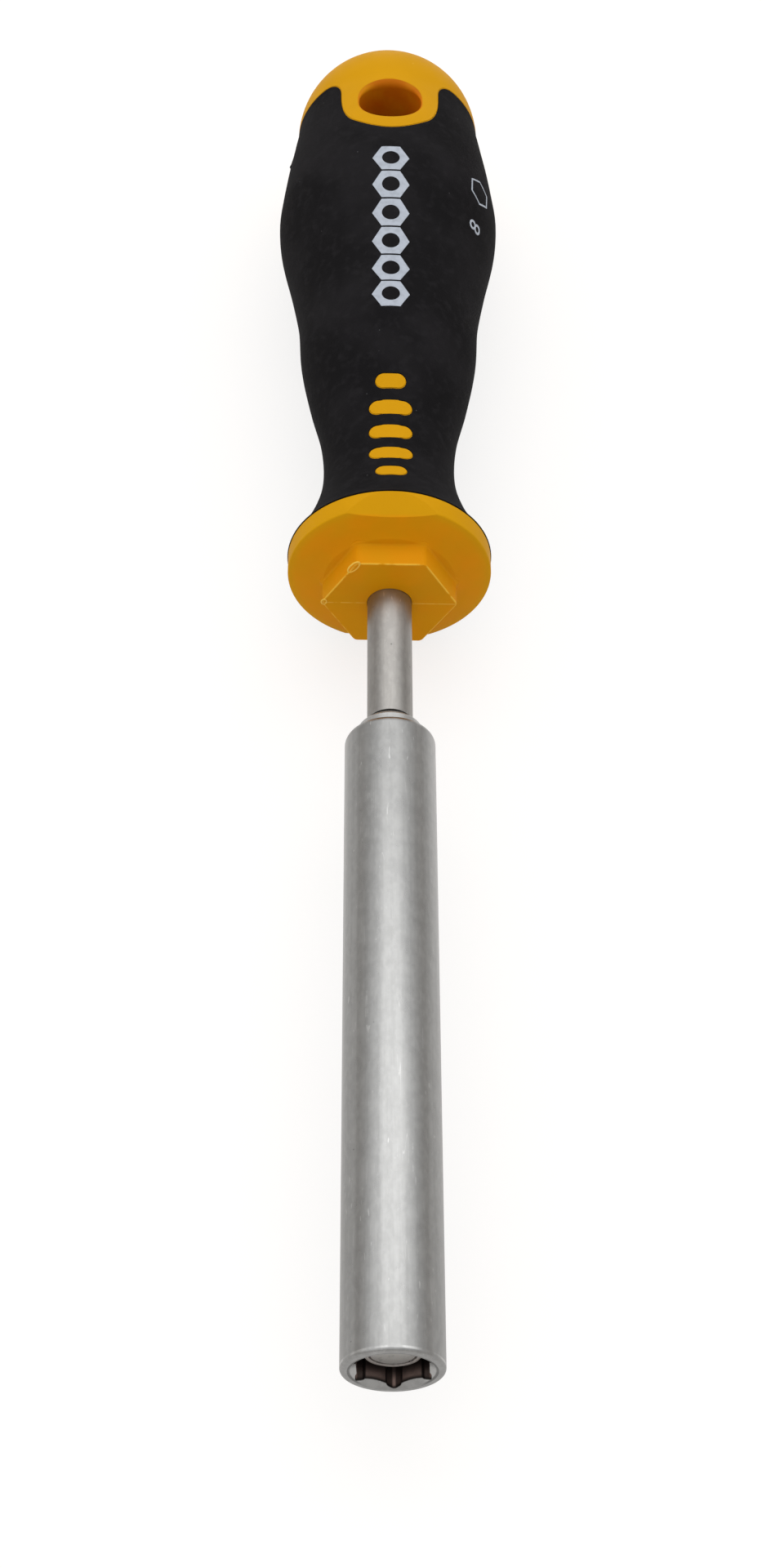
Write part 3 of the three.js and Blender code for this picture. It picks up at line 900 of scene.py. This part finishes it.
def shank_shape(margin=0):
    """The bar with its pressed end and its wings, grown by a margin where it serves as a cutter."""
    shank = settings("shank")
    tip, spigot, wide = shank.chamfer, shank.spigot_radius + margin, SHANK_RADIUS + margin
    step, rear = TUBE_REAR + shank.step_gap, SHANK_REAR + margin
    bar = spun([
        (0, SPIGOT_FRONT), (spigot - tip, SPIGOT_FRONT), (spigot, SPIGOT_FRONT + tip),
        (spigot, step), (wide, step), (wide, rear - tip), (wide - tip, rear), (0, rear),
    ])
    size = [side + 2 * margin for side in (shank.wing_span, shank.wing_length, shank.wing_thickness)]
    wings = block(size, Matrix.Translation((0, SHANK_REAR - shank.wing_from_end, 0)))
    return added(softened(bar, FINE_EDGE), wings)


def disc_shape():
    return softened(stepped((DISC_RADIUS, DISC_FRONT), rear=DISC_REAR), settings("magnet").edge)


def cup_shape():
    """Cup that carries the magnet: its head, a neck through the ring, a running collar and a guide pin."""
    magnet = settings("magnet")
    floor, head, neck = magnet.floor_front, magnet.cup_radius, magnet.neck_radius
    head_rear = floor + magnet.floor
    collar, collar_rear = magnet.collar_front, magnet.collar_front + magnet.collar_length
    return softened(spun([
        (0, floor), (magnet.pocket_radius, floor), (magnet.pocket_radius, CUP_FRONT),
        (head, CUP_FRONT), (head, head_rear), (neck, head_rear + head - neck), (neck, collar),
        (COLLAR_RADIUS, collar), (COLLAR_RADIUS, collar_rear),
        (magnet.guide_radius, collar_rear), (magnet.guide_radius, CUP_REAR), (0, CUP_REAR),
    ]), FINE_EDGE)


def ring_shape():
    """Snap ring, open at the top."""
    magnet = settings("magnet")
    sides = [[(radius, RING_FRONT), (radius, RING_REAR)] for radius in (RING_RADIUS, magnet.ring_inner)]
    reach = RING_RADIUS + OVERRUN
    middle = Matrix.Translation((0, (RING_FRONT + RING_REAR) / 2, reach / 2))
    slot = block((magnet.ring_slot, RING_REAR - RING_FRONT + OVERRUN, reach), middle)
    return softened(cut(walled(*sides), slot), 0.08 * MM, 2)


def coil_shape():
    magnet = settings("magnet")
    steps = 24 * magnet.turns
    wire = magnet.wire_radius
    mean, low, high = SPRING_RADIUS - wire, SPRING_FRONT + wire, SPRING_REAR - wire
    line = []
    for i in range(steps + 1):
        turn = FULL_TURN * magnet.turns * i / steps
        line.append((mean * math.cos(turn), low + (high - low) * i / steps, mean * math.sin(turn)))
    return bead(line, wire, False)


def tongue_outline(skin):
    """Plan of the yellow tongue round the hanging hole, past the cap's edge."""
    handle, fine = settings("handle"), settings("fineness")
    steps = fine.arc_steps
    nose, half, blunt = skin.hole - handle.tongue_nose, handle.tongue_half_width, handle.tongue_blunt
    cheek = (handle.cheek_half_width, skin.hole - handle.cheek_place)
    lean = (cheek[1] - nose) / (cheek[0] - blunt)
    shoulder = (half, cheek[1] + (half - cheek[0]) * lean)
    tip = (half, skin.rear - handle.prong_length)
    return [
        (0, nose),
        *bend((0, nose), (blunt, nose), cheek, steps),
        *bend(cheek, shoulder, (half, skin.hole + handle.side_place), steps),
        tip,
        *bend(tip, (half, skin.rear - 0.25 * MM), (half + handle.prong_width, skin.rear), 2 * steps),
    ]


def hole_shape(skin):
    """Upright hole whose two mouths follow the skin and open in a round, widest behind."""
    handle, fine = settings("handle"), settings("fineness")
    last = math.radians(72)
    turns = [last * i / fine.arc_steps for i in range(fine.arc_steps + 1)]
    reach = 1.5 * MM
    # Levels of a mouth: shares of the round aside and down, and how far past the skin, None for the lid
    levels = [(1 - math.cos(turn), 1 - math.sin(turn), 0) for turn in turns]
    levels += [(*levels[-1][:2], reach), (*levels[-1][:2], None)]
    stack = [(-1, *level) for level in reversed(levels)] + [(1, *level) for level in levels]
    shape = bmesh.new()
    ring = bmesh.ops.create_circle(shape, segments=fine.facets // 2, radius=handle.hole_radius)["verts"]
    bmesh.ops.translate(shape, verts=ring, vec=(0, skin.hole, 0))
    edges = shape.edges[:]
    for side, wide, deep, away in stack:
        for vert in ring:
            toward = Vector((vert.co.x, vert.co.y - skin.hole)).normalized()
            far = handle.hole_round_rear if toward.y > 0 else handle.hole_round_front
            size = handle.hole_round_side + (far - handle.hole_round_side) * toward.y**2
            beyond = reach if away is None else away
            out = toward * (handle.hole_radius + wide * size + beyond)
            high = skin.height(out.x, skin.hole + out.y) - deep * size + beyond / math.tan(last)
            if away is None:
                high = GRIP_RADIUS + reach
            vert.co = (out.x, skin.hole + out.y, side * high)
        raised = bmesh.ops.extrude_edge_only(shape, edges=edges)["geom"]
        ring = [item for item in raised if isinstance(item, bmesh.types.BMVert)]
        edges = [item for item in raised if isinstance(item, bmesh.types.BMEdge)]
    bmesh.ops.delete(shape, geom=ring, context="VERTS")
    bmesh.ops.holes_fill(shape, edges=[edge for edge in shape.edges if edge.is_boundary])
    return closed(shape)


def facet_shape(skin, turn):
    """Block whose slanted floor takes a flat off the flange's rim, above or below."""
    handle = settings("handle")
    depth = handle.facet_depth
    size = Vector((2 * GRIP_RADIUS, 10 * MM, 6 * MM))
    return block(size, (
        Matrix.Rotation(turn, 4, "Y")
        @ Matrix.Translation((0, skin.rim, handle.flange_radius - depth))
        @ Matrix.Rotation(math.atan2(depth, skin.front - skin.rim), 4, "X")
        @ Matrix.Translation((0, 0, size.z / 2))
    ))


def capsule(place, span, width, margin=0):
    """Plan of a bar with round ends across the tool."""
    steps = 2 * settings("fineness").arc_steps
    straight = (span - width) / 2
    size = width / 2 + margin
    right = [(straight + x, place + y) for x, y in arc(0, 0, size, -90, 90, steps)]
    return right + [(-x, 2 * place - y) for x, y in right]


def rib_outlines(skin, margin=0):
    grip = settings("grip")
    middle = (len(RIB_SPAN_SHARES) - 1) / 2
    return [
        capsule(skin.front + grip.ribs_place + (i - middle) * grip.rib_pitch, grip.rib_span * wide,
                grip.rib_width, margin)
        for i, wide in enumerate(RIB_SPAN_SHARES)
    ]


def over_skin(skin, outline):
    """Points of the skin over a plan outline."""
    return [(x, place, skin.height(x, place)) for x, place in outline]


def seam_line(skin):
    """The closed line on the skin where rubber and hard plastic meet at the end cap."""
    side = []
    outline, spacing = tongue_outline(skin), 0.5 * MM
    for (x0, s0), (x1, s1) in zip(outline, outline[1:]):
        steps = max(1, round(math.hypot(x1 - x0, s1 - s0) / spacing))
        side += [(x0 + (x1 - x0) * i / steps, s0 + (s1 - s0) * i / steps) for i in range(steps)]
    quarter = over_skin(skin, side)
    start = math.asin(outline[-1][0] / skin.cap)
    steps = settings("fineness").facets // 4
    turns = [start + (math.pi / 2 - start) * i / steps for i in range(steps + 1)]
    quarter += [(skin.cap * math.sin(turn), skin.rear, skin.cap * math.cos(turn)) for turn in turns]
    right = quarter + [(x, y, -z) for x, y, z in reversed(quarter[:-1])]
    return right + [(-x, y, z) for x, y, z in reversed(right[1:-1])]


def whole_outline(skin):
    """The tongue's plan on both sides of the middle, closed behind the cap's edge."""
    side = tongue_outline(skin)
    side.append((side[-1][0], side[-1][1] + OVERRUN))
    return side + [(-x, place) for x, place in reversed(side[1:])]


def widened(outline, margin):
    """A closed plan outline moved outwards by a margin."""
    moved = []
    for before, here, after in zip(outline[-1:] + outline[:-1], outline, outline[1:] + outline[:1]):
        ahead = (Vector(after) - Vector(here)).normalized()
        behind = (Vector(here) - Vector(before)).normalized()
        out = Vector((ahead.y + behind.y, -ahead.x - behind.x)).normalized()
        moved.append(tuple(Vector(here) + out * margin))
    return moved


def windows(skin, margin):
    """Cutters for the tongue and the ribs, each as a prism through the skin."""
    high = GRIP_RADIUS + 2 * OVERRUN
    foot = SHANK_RADIUS + 1.3 * MM
    tongue = prism(widened(whole_outline(skin), margin), -high, high)
    return [tongue, *[prism(outline, foot, high) for outline in rib_outlines(skin, margin)]]


def seams(skin):
    """The fine grooves that run between the rubber and the hard plastic."""
    fine = settings("fineness")
    edge = arc(0, 0, settings("handle").flange_radius, 0, 360, fine.facets)[:-1]
    rim = [(x, skin.front, z) for x, z in edge]
    lines = [seam_line(skin), rim, *[over_skin(skin, outline) for outline in rib_outlines(skin)]]
    return [bead(line, fine.seam) for line in lines]


def oval(x, z, long, wide, lean):
    """Points of an oval on the bolster's front face, leaning by an angle in degrees."""
    steps = 2 * settings("fineness").arc_steps
    turn = Matrix.Translation((x, BOLSTER_FRONT, z)) @ Matrix.Rotation(-math.radians(lean), 4, "Y")
    ring = arc(0, 0, 1, 0, 360, steps)[:-1]
    return [tuple(turn @ Vector((long * across, 0, wide * up))) for across, up in ring]


def flash_beads():
    """Thin flash on the bolster's front: the mould's parting line, two small loops and a burr."""
    wire, top = settings("handle").flash, settings("handle").bolster_flats / 2
    corner = 2 * top / math.sqrt(3)
    sunk = BOLSTER_FRONT + 0.4 * wire
    left = [(x * MM, sunk, 0.04 * MM) for x in (-8.4, -6, -4)]
    right = [(x * MM, sunk, 0) for x in (4, 6, 8.4)]
    burr_turns = ((0.6, 0), (1.1, -0.12), (1.5, -0.3), (1.9, -0.04), (3.4, 0))
    burr = [(x * MM, BOLSTER_FRONT + 0.5 * wire, top + (z - 0.1) * MM) for x, z in burr_turns]
    return [
        bead(left, 0.6 * wire, False),
        bead(right, 0.6 * wire, False),
        bead(burr, 0.7 * wire, False),
        bead(oval(-4.95 * MM, 7.35 * MM, 1.2 * MM, 0.5 * MM, 56), wire),
        bead(oval(0.35 * MM - corner, 0.15 * MM, 0.5 * MM, 0.36 * MM, 80), 0.8 * wire),
    ]


def bolster_shape():
    """Six-sided bar with rounded corners, which widens a little where it meets the flange."""
    handle, fine = settings("handle"), settings("fineness")
    half, foot = handle.bolster_flats / 2, handle.bolster_foot
    root = BOLSTER_FRONT + handle.bolster_height
    rear = root + handle.flange_rise
    fillet = arc(half + foot, root - foot, foot, 180, 90, fine.arc_steps // 2)
    sides = [(0, BOLSTER_FRONT), (half, BOLSTER_FRONT), *fillet, (half + foot, rear), (0, rear)]
    shape = spun([(radius * 2 / math.sqrt(3), place) for radius, place in sides], 6)
    corners = [edge for edge in shape.edges if abs(edge.verts[0].co.y - edge.verts[1].co.y) > WELD]
    return softened(rounded(shape, corners, handle.bolster_corner, 4), handle.bolster_edge)


def handle_shape(skin):
    handle, grip, fine = settings("handle"), settings("grip"), settings("fineness")
    root, face = handle.root_radius, BOLSTER_FRONT + handle.bolster_height
    wide, rise, rim_round = handle.dish_width, handle.dish_rise, handle.rim_round
    hollow, foot = (root + 0.35 * wide, face + 0.55 * rise), (root + wide, face + rise)
    radius = handle.flange_radius
    body = spun([
        (0, face), (root, face), *bend((root, face), hollow, foot, fine.arc_steps),
        *arc(radius - rim_round, skin.rim + rim_round, rim_round, -74, 0, fine.arc_steps // 2),
        (radius, skin.front),
        *skin.outline(skin.front + 0.4 * MM, skin.rear - 0.1 * MM), *skin.dome(),
    ])
    inner = skin.outline(skin.front, skin.rear, grip.wall + fine.joint_gap)
    proud = GRIP_RADIUS + OVERRUN
    hollow = cut(walled(inner, [(proud, skin.front), (proud, skin.rear)]), *windows(skin, 0))
    body = cut(body, facet_shape(skin, 0), facet_shape(skin, math.pi), hollow)
    body = added(body, bolster_shape(), *flash_beads())
    return cut(body, hole_shape(skin), shank_shape(handle.shank_gap), *seams(skin))


def nibs(skin):
    """Flash ridges on the rubber's two sides, which grow towards the mouth and end in a nib."""
    grip = settings("grip")
    steps = 10
    run = (grip.nib_end - grip.nib_place) / steps
    places = [grip.nib_place - 0.5 * MM] + [grip.nib_place + run * i for i in range(steps + 1)]
    widths = [0.3] + [1 - 0.8 * (i / steps) ** 0.5 for i in range(steps + 1)]
    made = []
    for side in (-1, 1):
        line = [(side * (skin.radius(place) + 0.1 * MM), place, 0) for place in places]
        made.append(bead(line, grip.nib_size, False, widths))
    return made


def rubber_shape(skin):
    grip, fine = settings("grip"), settings("fineness")
    ends = (skin.front + fine.joint_gap, skin.rear - fine.joint_gap)
    sleeve = walled(skin.outline(*ends), skin.outline(*ends, grip.wall))
    return cut(added(cut(sleeve, *windows(skin, fine.joint_gap)), *nibs(skin)), *seams(skin))


def polygon(place, flats, sides, first):
    """Plan of a regular polygon whose first corner stands at an angle in degrees from the tool's length."""
    reach = flats / 2 / math.cos(math.pi / sides)
    return [(across, place + along) for along, across in arc(0, 0, reach, first, first + 360, sides)[:-1]]


def printed(skin, stamp, turn=0):
    """Ink on the skin wherever an upright stamp, turned about the tool's axis, meets it."""
    ink = settings("grip").ink
    places = [vert.co.y for vert in stamp.verts]
    ends = (min(places) - 2 * MM, max(places) + 2 * MM)
    coat = walled(skin.outline(*ends, -ink), skin.outline(*ends, 0.5 * ink))
    bmesh.ops.rotate(stamp, verts=stamp.verts, matrix=Matrix.Rotation(turn, 3, "Y"), cent=(0, 0, 0))
    return joined(coat, stamp, "INTERSECT")


def stamp_of(outline, hole):
    """Upright stamp over a plan outline with a hole in it."""
    low, high = SHANK_RADIUS, GRIP_RADIUS + 2 * OVERRUN
    return cut(prism(outline, low, high), prism(hole, low - OVERRUN, high + OVERRUN))


def nuts_shape(skin):
    """A row of plain printed nuts along the top of the grip."""
    grip = settings("grip")
    middle = (PRINTED_NUTS - 1) / 2
    places = [grip.nut_place + (i - middle) * grip.nut_pitch for i in range(PRINTED_NUTS)]
    return printed(skin, gathered(
        stamp_of(polygon(place, grip.nut_size, 6, 30), polygon(place, 2 * grip.nut_bore, 32, 0))
        for place in places))


def mark_shape(skin):
    """The socket's size on the grip's side: a hexagon and a number."""
    grip = settings("grip")
    sizes = (grip.mark_size, grip.mark_size - 2 * grip.mark_line)
    stamp = stamp_of(*[polygon(grip.mark_place, size, 6, 0) for size in sizes])
    words = bpy.data.curves.new("size", "FONT")
    words.body = str(round(settings("tube").across_flats / MM))
    words.size = grip.figure_size / FIGURE_SHARE
    words.align_x = "CENTER"
    words.align_y = "CENTER"
    words.extrude = GRIP_RADIUS / 2
    figure = closed(taken(linked("size", words)))
    quarter = Matrix.Rotation(math.pi / 2, 3, "Z")
    bmesh.ops.rotate(figure, verts=figure.verts, matrix=quarter, cent=(0, 0, 0))
    bmesh.ops.translate(figure, verts=figure.verts, vec=(0, grip.figure_place, GRIP_RADIUS))
    return printed(skin, gathered((stamp, figure)), grip.mark_turn)


class NUTDRIVER_OT_tube(bpy.types.Operator):
    """Adds the turned tube with its broached socket"""

    bl_idname = "nutdriver.tube"
    bl_label = "Add Tube"

    def execute(self, context):
        finished("tube", tube_shape(), "driver", tube_finish(), "tube_chrome", "socket_tube")
        return {"FINISHED"}


class NUTDRIVER_OT_shank(bpy.types.Operator):
    """Adds the shank between the tube and the handle"""

    bl_idname = "nutdriver.shank"
    bl_label = "Add Shank"

    def execute(self, context):
        finished("shank_bar", shank_shape(), "driver", shank_finish(), "shank_chrome", "shank")
        return {"FINISHED"}


class NUTDRIVER_OT_magnet(bpy.types.Operator):
    """Adds the magnet and the cup that carries it"""

    bl_idname = "nutdriver.magnet"
    bl_label = "Add Magnet"

    def execute(self, context):
        tones = settings("colours")
        dull = plate_finish("magnet_plate", tones.magnet, STAIN, 0.55)
        bright = plate_finish("cup_plate", tones.cup, STAIN, 0.55)
        finished("magnet", disc_shape(), "plunger", dull, "magnet_plate", "magnet_disc")
        finished("magnet_holder", cup_shape(), "plunger", bright, "cup_plate", "magnet_cup")
        return {"FINISHED"}


class NUTDRIVER_OT_spring(bpy.types.Operator):
    """Adds the snap ring and the coil spring behind the magnet"""

    bl_idname = "nutdriver.spring"
    bl_label = "Add Ring and Spring"

    def execute(self, context):
        steel = plate_finish("spring_steel", settings("colours").spring, GREY_STAIN, 0.35)
        finished("snap_ring", ring_shape(), "driver", steel, "spring_steel", "retaining_ring")
        coil = finished("coil_spring", coil_shape(), "driver", steel, "spring_steel", "magnet_spring")
        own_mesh(coil)
        return {"FINISHED"}


class NUTDRIVER_OT_handle(bpy.types.Operator):
    """Adds the yellow core with its bolster, flange, inlaid ribs and end cap"""

    bl_idname = "nutdriver.handle"
    bl_label = "Add Handle"

    def execute(self, context):
        core = handle_shape(Skin())
        finished("handle", core, "driver", yellow_finish(), "yellow_plastic", "handle_core")
        return {"FINISHED"}


class NUTDRIVER_OT_rubber(bpy.types.Operator):
    """Adds the black rubber over the core"""

    bl_idname = "nutdriver.rubber"
    bl_label = "Add Rubber"

    def execute(self, context):
        cover = rubber_shape(Skin())
        finished("grip_cover", cover, "driver", rubber_finish(), "black_rubber", "rubber_grip")
        return {"FINISHED"}


class NUTDRIVER_OT_print(bpy.types.Operator):
    """Adds the pale print on the rubber"""

    bl_idname = "nutdriver.print"
    bl_label = "Add Print"

    def execute(self, context):
        skin, ink = Skin(), ink_finish()
        finished("print_nuts", nuts_shape(skin), "driver", ink, None)
        finished("side_print", mark_shape(skin), "driver", ink, None)
        return {"FINISHED"}


class NutDriverStage(bpy.types.PropertyGroup):
    elevation: angle("Elevation", "Angle at which the camera looks down", 53.983)
    roll: angle("Roll", "Turn of the camera about the tool's axis", -1.498)
    tilt: angle("Tilt", "Turn of the camera about its line of sight", -0.099)
    aside: length("Aside", "Camera's place across the tool", -1.192, low=-1)
    before: length("Before", "How far the camera stands before the mouth", 108.763)
    over: length("Over", "Height of the camera over the tool's axis", 259.242)
    lens: level("Lens", "Focal length for a sensor of 36 mm", 57.291)
    horizon: colour("Horizon", "Light from low down all round", (0.55, 0.525, 0.5))
    sky: colour("Sky", "Light from above", (0.7, 0.7, 0.7))
    paper: colour("Paper", "Plain pale floor", (0.84, 0.8, 0.76))
    paper_glow: level("Paper glow", "Brightness that the camera sees on the floor", 1.15)
    veil: share("Veil", "Share of that brightness over the floor's own light", 0.65)
    key_glow: level("Key glow", "Brightness of the lamp overhead", 0.34)
    key_width: length("Key width", "Width of the lamp overhead", 3200)
    key_length: length("Key length", "Length of the lamp overhead, along the tool", 2000)
    key_height: length("Key height", "Height of the lamp overhead", 950)
    key_aside: length("Key aside", "How far that lamp stands to the left", 130)
    key_ahead: length("Key ahead", "How far that lamp stands behind the tool's middle", 150)
    window_glow: level("Window glow", "Brightness of the near lamp behind the tool", 0.78)
    window_width: length("Window width", "Width of the near lamp behind the tool", 920)
    window_length: length("Window length", "Height of that lamp", 660)
    window_away: length("Window distance", "Distance of the two lamps behind the tool", 1000)
    window_rise: angle("Window rise", "Elevation of the window lamp", 70)
    band_glow: level("Band glow", "Brightness of the wide, low lamp behind the tool", 0.6)
    band_width: length("Band width", "Width of the wide lamp", 1800)
    band_length: length("Band length", "Height of the wide lamp", 260)
    band_rise: angle("Band rise", "Elevation of the wide lamp", 69)


def lamp(name, place, width, length, glow):
    """Soft lamp that faces the tool."""
    light = bpy.data.lights.new(name, "AREA")
    light.shape = "RECTANGLE"
    light.size = width
    light.size_y = length
    light.energy = glow * math.pi * width * length
    stand = linked(name, light)
    stand.location = place
    stand.rotation_euler = (Vector((0, 0, AXIS_HEIGHT)) - Vector(place)).to_track_quat("-Z", "Y").to_euler()


def studio_world(stage):
    """World that is white to the camera, pale above and dimmer towards the horizon."""
    world = bpy.data.worlds.new("studio")
    world.use_nodes = True
    nodes = Nodes(world.node_tree)
    way = nodes.node("ShaderNodeTexCoord", {}, {}, "Generated")
    climb = nodes.node("ShaderNodeSeparateXYZ", {}, {"Vector": way}, "Z")
    seen = nodes.node("ShaderNodeLightPath", {}, {}, "Is Camera Ray")
    tone = nodes.mix(nodes.ramp(climb, 0.0, 0.75), tuple(stage.horizon), tuple(stage.sky))
    shown = nodes.node("ShaderNodeBackground", {}, {"Color": nodes.mix(seen, tone, (1, 1, 1))})
    nodes.node("ShaderNodeOutputWorld", {}, {"Surface": shown})
    return world


def paper_finish(stage):
    """Pale paper that looks white to the camera and near by in the metal, and keeps the tool's shadow."""
    paper = Finish("pale_paper")
    fibre = paper.noise(2 * MM, 2)
    tone = paper.mix(fibre, tinted(stage.paper, 0.99), tinted(stage.paper, 1.01))
    paper.give(Roughness=0.9, Base_Color=tone)
    seen = paper.node("ShaderNodeLightPath", {}, {}, "Is Camera Ray")
    mirrored = paper.node("ShaderNodeLightPath", {}, {}, "Is Glossy Ray")
    beside = paper.line(paper.across, 10 * MM, 60, 5)
    near = beside * paper.fade(paper.along, 0, -20, 120)
    strength = (seen + mirrored * (0.62 + 0.38 * near)) * stage.paper_glow
    glow = paper.node("ShaderNodeEmission", {}, {"Strength": strength})
    both = paper.blend((seen + mirrored) * stage.veil, paper.shader, glow)
    paper.node("ShaderNodeOutputMaterial", {"is_active_output": True}, {"Surface": both})
    return paper.material


class NUTDRIVER_OT_stage(bpy.types.Operator):
    """Adds the floor, the lamps, the world and the camera"""

    bl_idname = "nutdriver.stage"
    bl_label = "Add Stage"

    def execute(self, context):
        stage, scene = settings("stage"), context.scene
        shape = bmesh.new()
        bmesh.ops.create_grid(shape, x_segments=1, y_segments=1, size=4)
        floor = hung("floor", shape)
        floor.data.materials.append(paper_finish(stage))
        camera = linked("camera", bpy.data.cameras.new("camera"))
        camera.data.lens = stage.lens
        camera.data.clip_start = 1 * MM
        axis = Matrix.Translation((0, MOUTH, AXIS_HEIGHT))
        camera.matrix_world = (
            axis @ Matrix.Rotation(stage.roll, 4, "Y")
            @ Matrix.Translation((stage.aside, -stage.before, stage.over))
            @ Matrix.Rotation(math.pi / 2 - stage.elevation, 4, "X") @ Matrix.Rotation(stage.tilt, 4, "Z")
        )
        scene.camera = camera
        scene.world = studio_world(stage)
        overhead = (-stage.key_aside, stage.key_ahead, stage.key_height)
        lamp("key", overhead, stage.key_width, stage.key_length, stage.key_glow)
        for name, rise, width, height, glow in (
            ("window", stage.window_rise, stage.window_width, stage.window_length, stage.window_glow),
            ("band", stage.band_rise, stage.band_width, stage.band_length, stage.band_glow),
        ):
            behind = (0, stage.window_away * math.cos(rise), stage.window_away * math.sin(rise))
            lamp(name, behind, width, height, glow)
        scene.view_settings.view_transform = "Standard"
        return {"FINISHED"}


class NUTDRIVER_PT_sidebar(bpy.types.Panel):
    """Lists the tool's pieces in the order in which they are made"""

    bl_idname = "NUTDRIVER_PT_sidebar"
    bl_label = "Nut Driver"
    bl_space_type = "VIEW_3D"
    bl_region_type = "UI"
    bl_category = "Nut Driver"

    def draw(self, context):
        for operator in OPERATORS:
            self.layout.operator(operator.bl_idname)


GROUPS = {
    "fineness": NutDriverFineness, "tube": NutDriverTube, "shank": NutDriverShank,
    "magnet": NutDriverMagnet, "handle": NutDriverHandle, "grip": NutDriverGrip,
    "colours": NutDriverColours, "stage": NutDriverStage,
}
OPERATORS = (
    NUTDRIVER_OT_stage, NUTDRIVER_OT_tube, NUTDRIVER_OT_shank, NUTDRIVER_OT_magnet, NUTDRIVER_OT_spring,
    NUTDRIVER_OT_handle, NUTDRIVER_OT_rubber, NUTDRIVER_OT_print,
)


def register():
    for name, group in GROUPS.items():
        bpy.utils.register_class(group)
        setattr(bpy.types.Scene, "nut_driver_" + name, PointerProperty(type=group))
    for kind in (*OPERATORS, NUTDRIVER_PT_sidebar):
        bpy.utils.register_class(kind)


def unregister():
    for kind in (NUTDRIVER_PT_sidebar, *reversed(OPERATORS)):
        bpy.utils.unregister_class(kind)
    for name, group in reversed(GROUPS.items()):
        delattr(bpy.types.Scene, "nut_driver_" + name)
        bpy.utils.unregister_class(group)


def main():
    register()
    for operator in OPERATORS:
        group, name = operator.bl_idname.split(".")
        getattr(getattr(bpy.ops, group), name)()


if __name__ == "__main__":
    main()
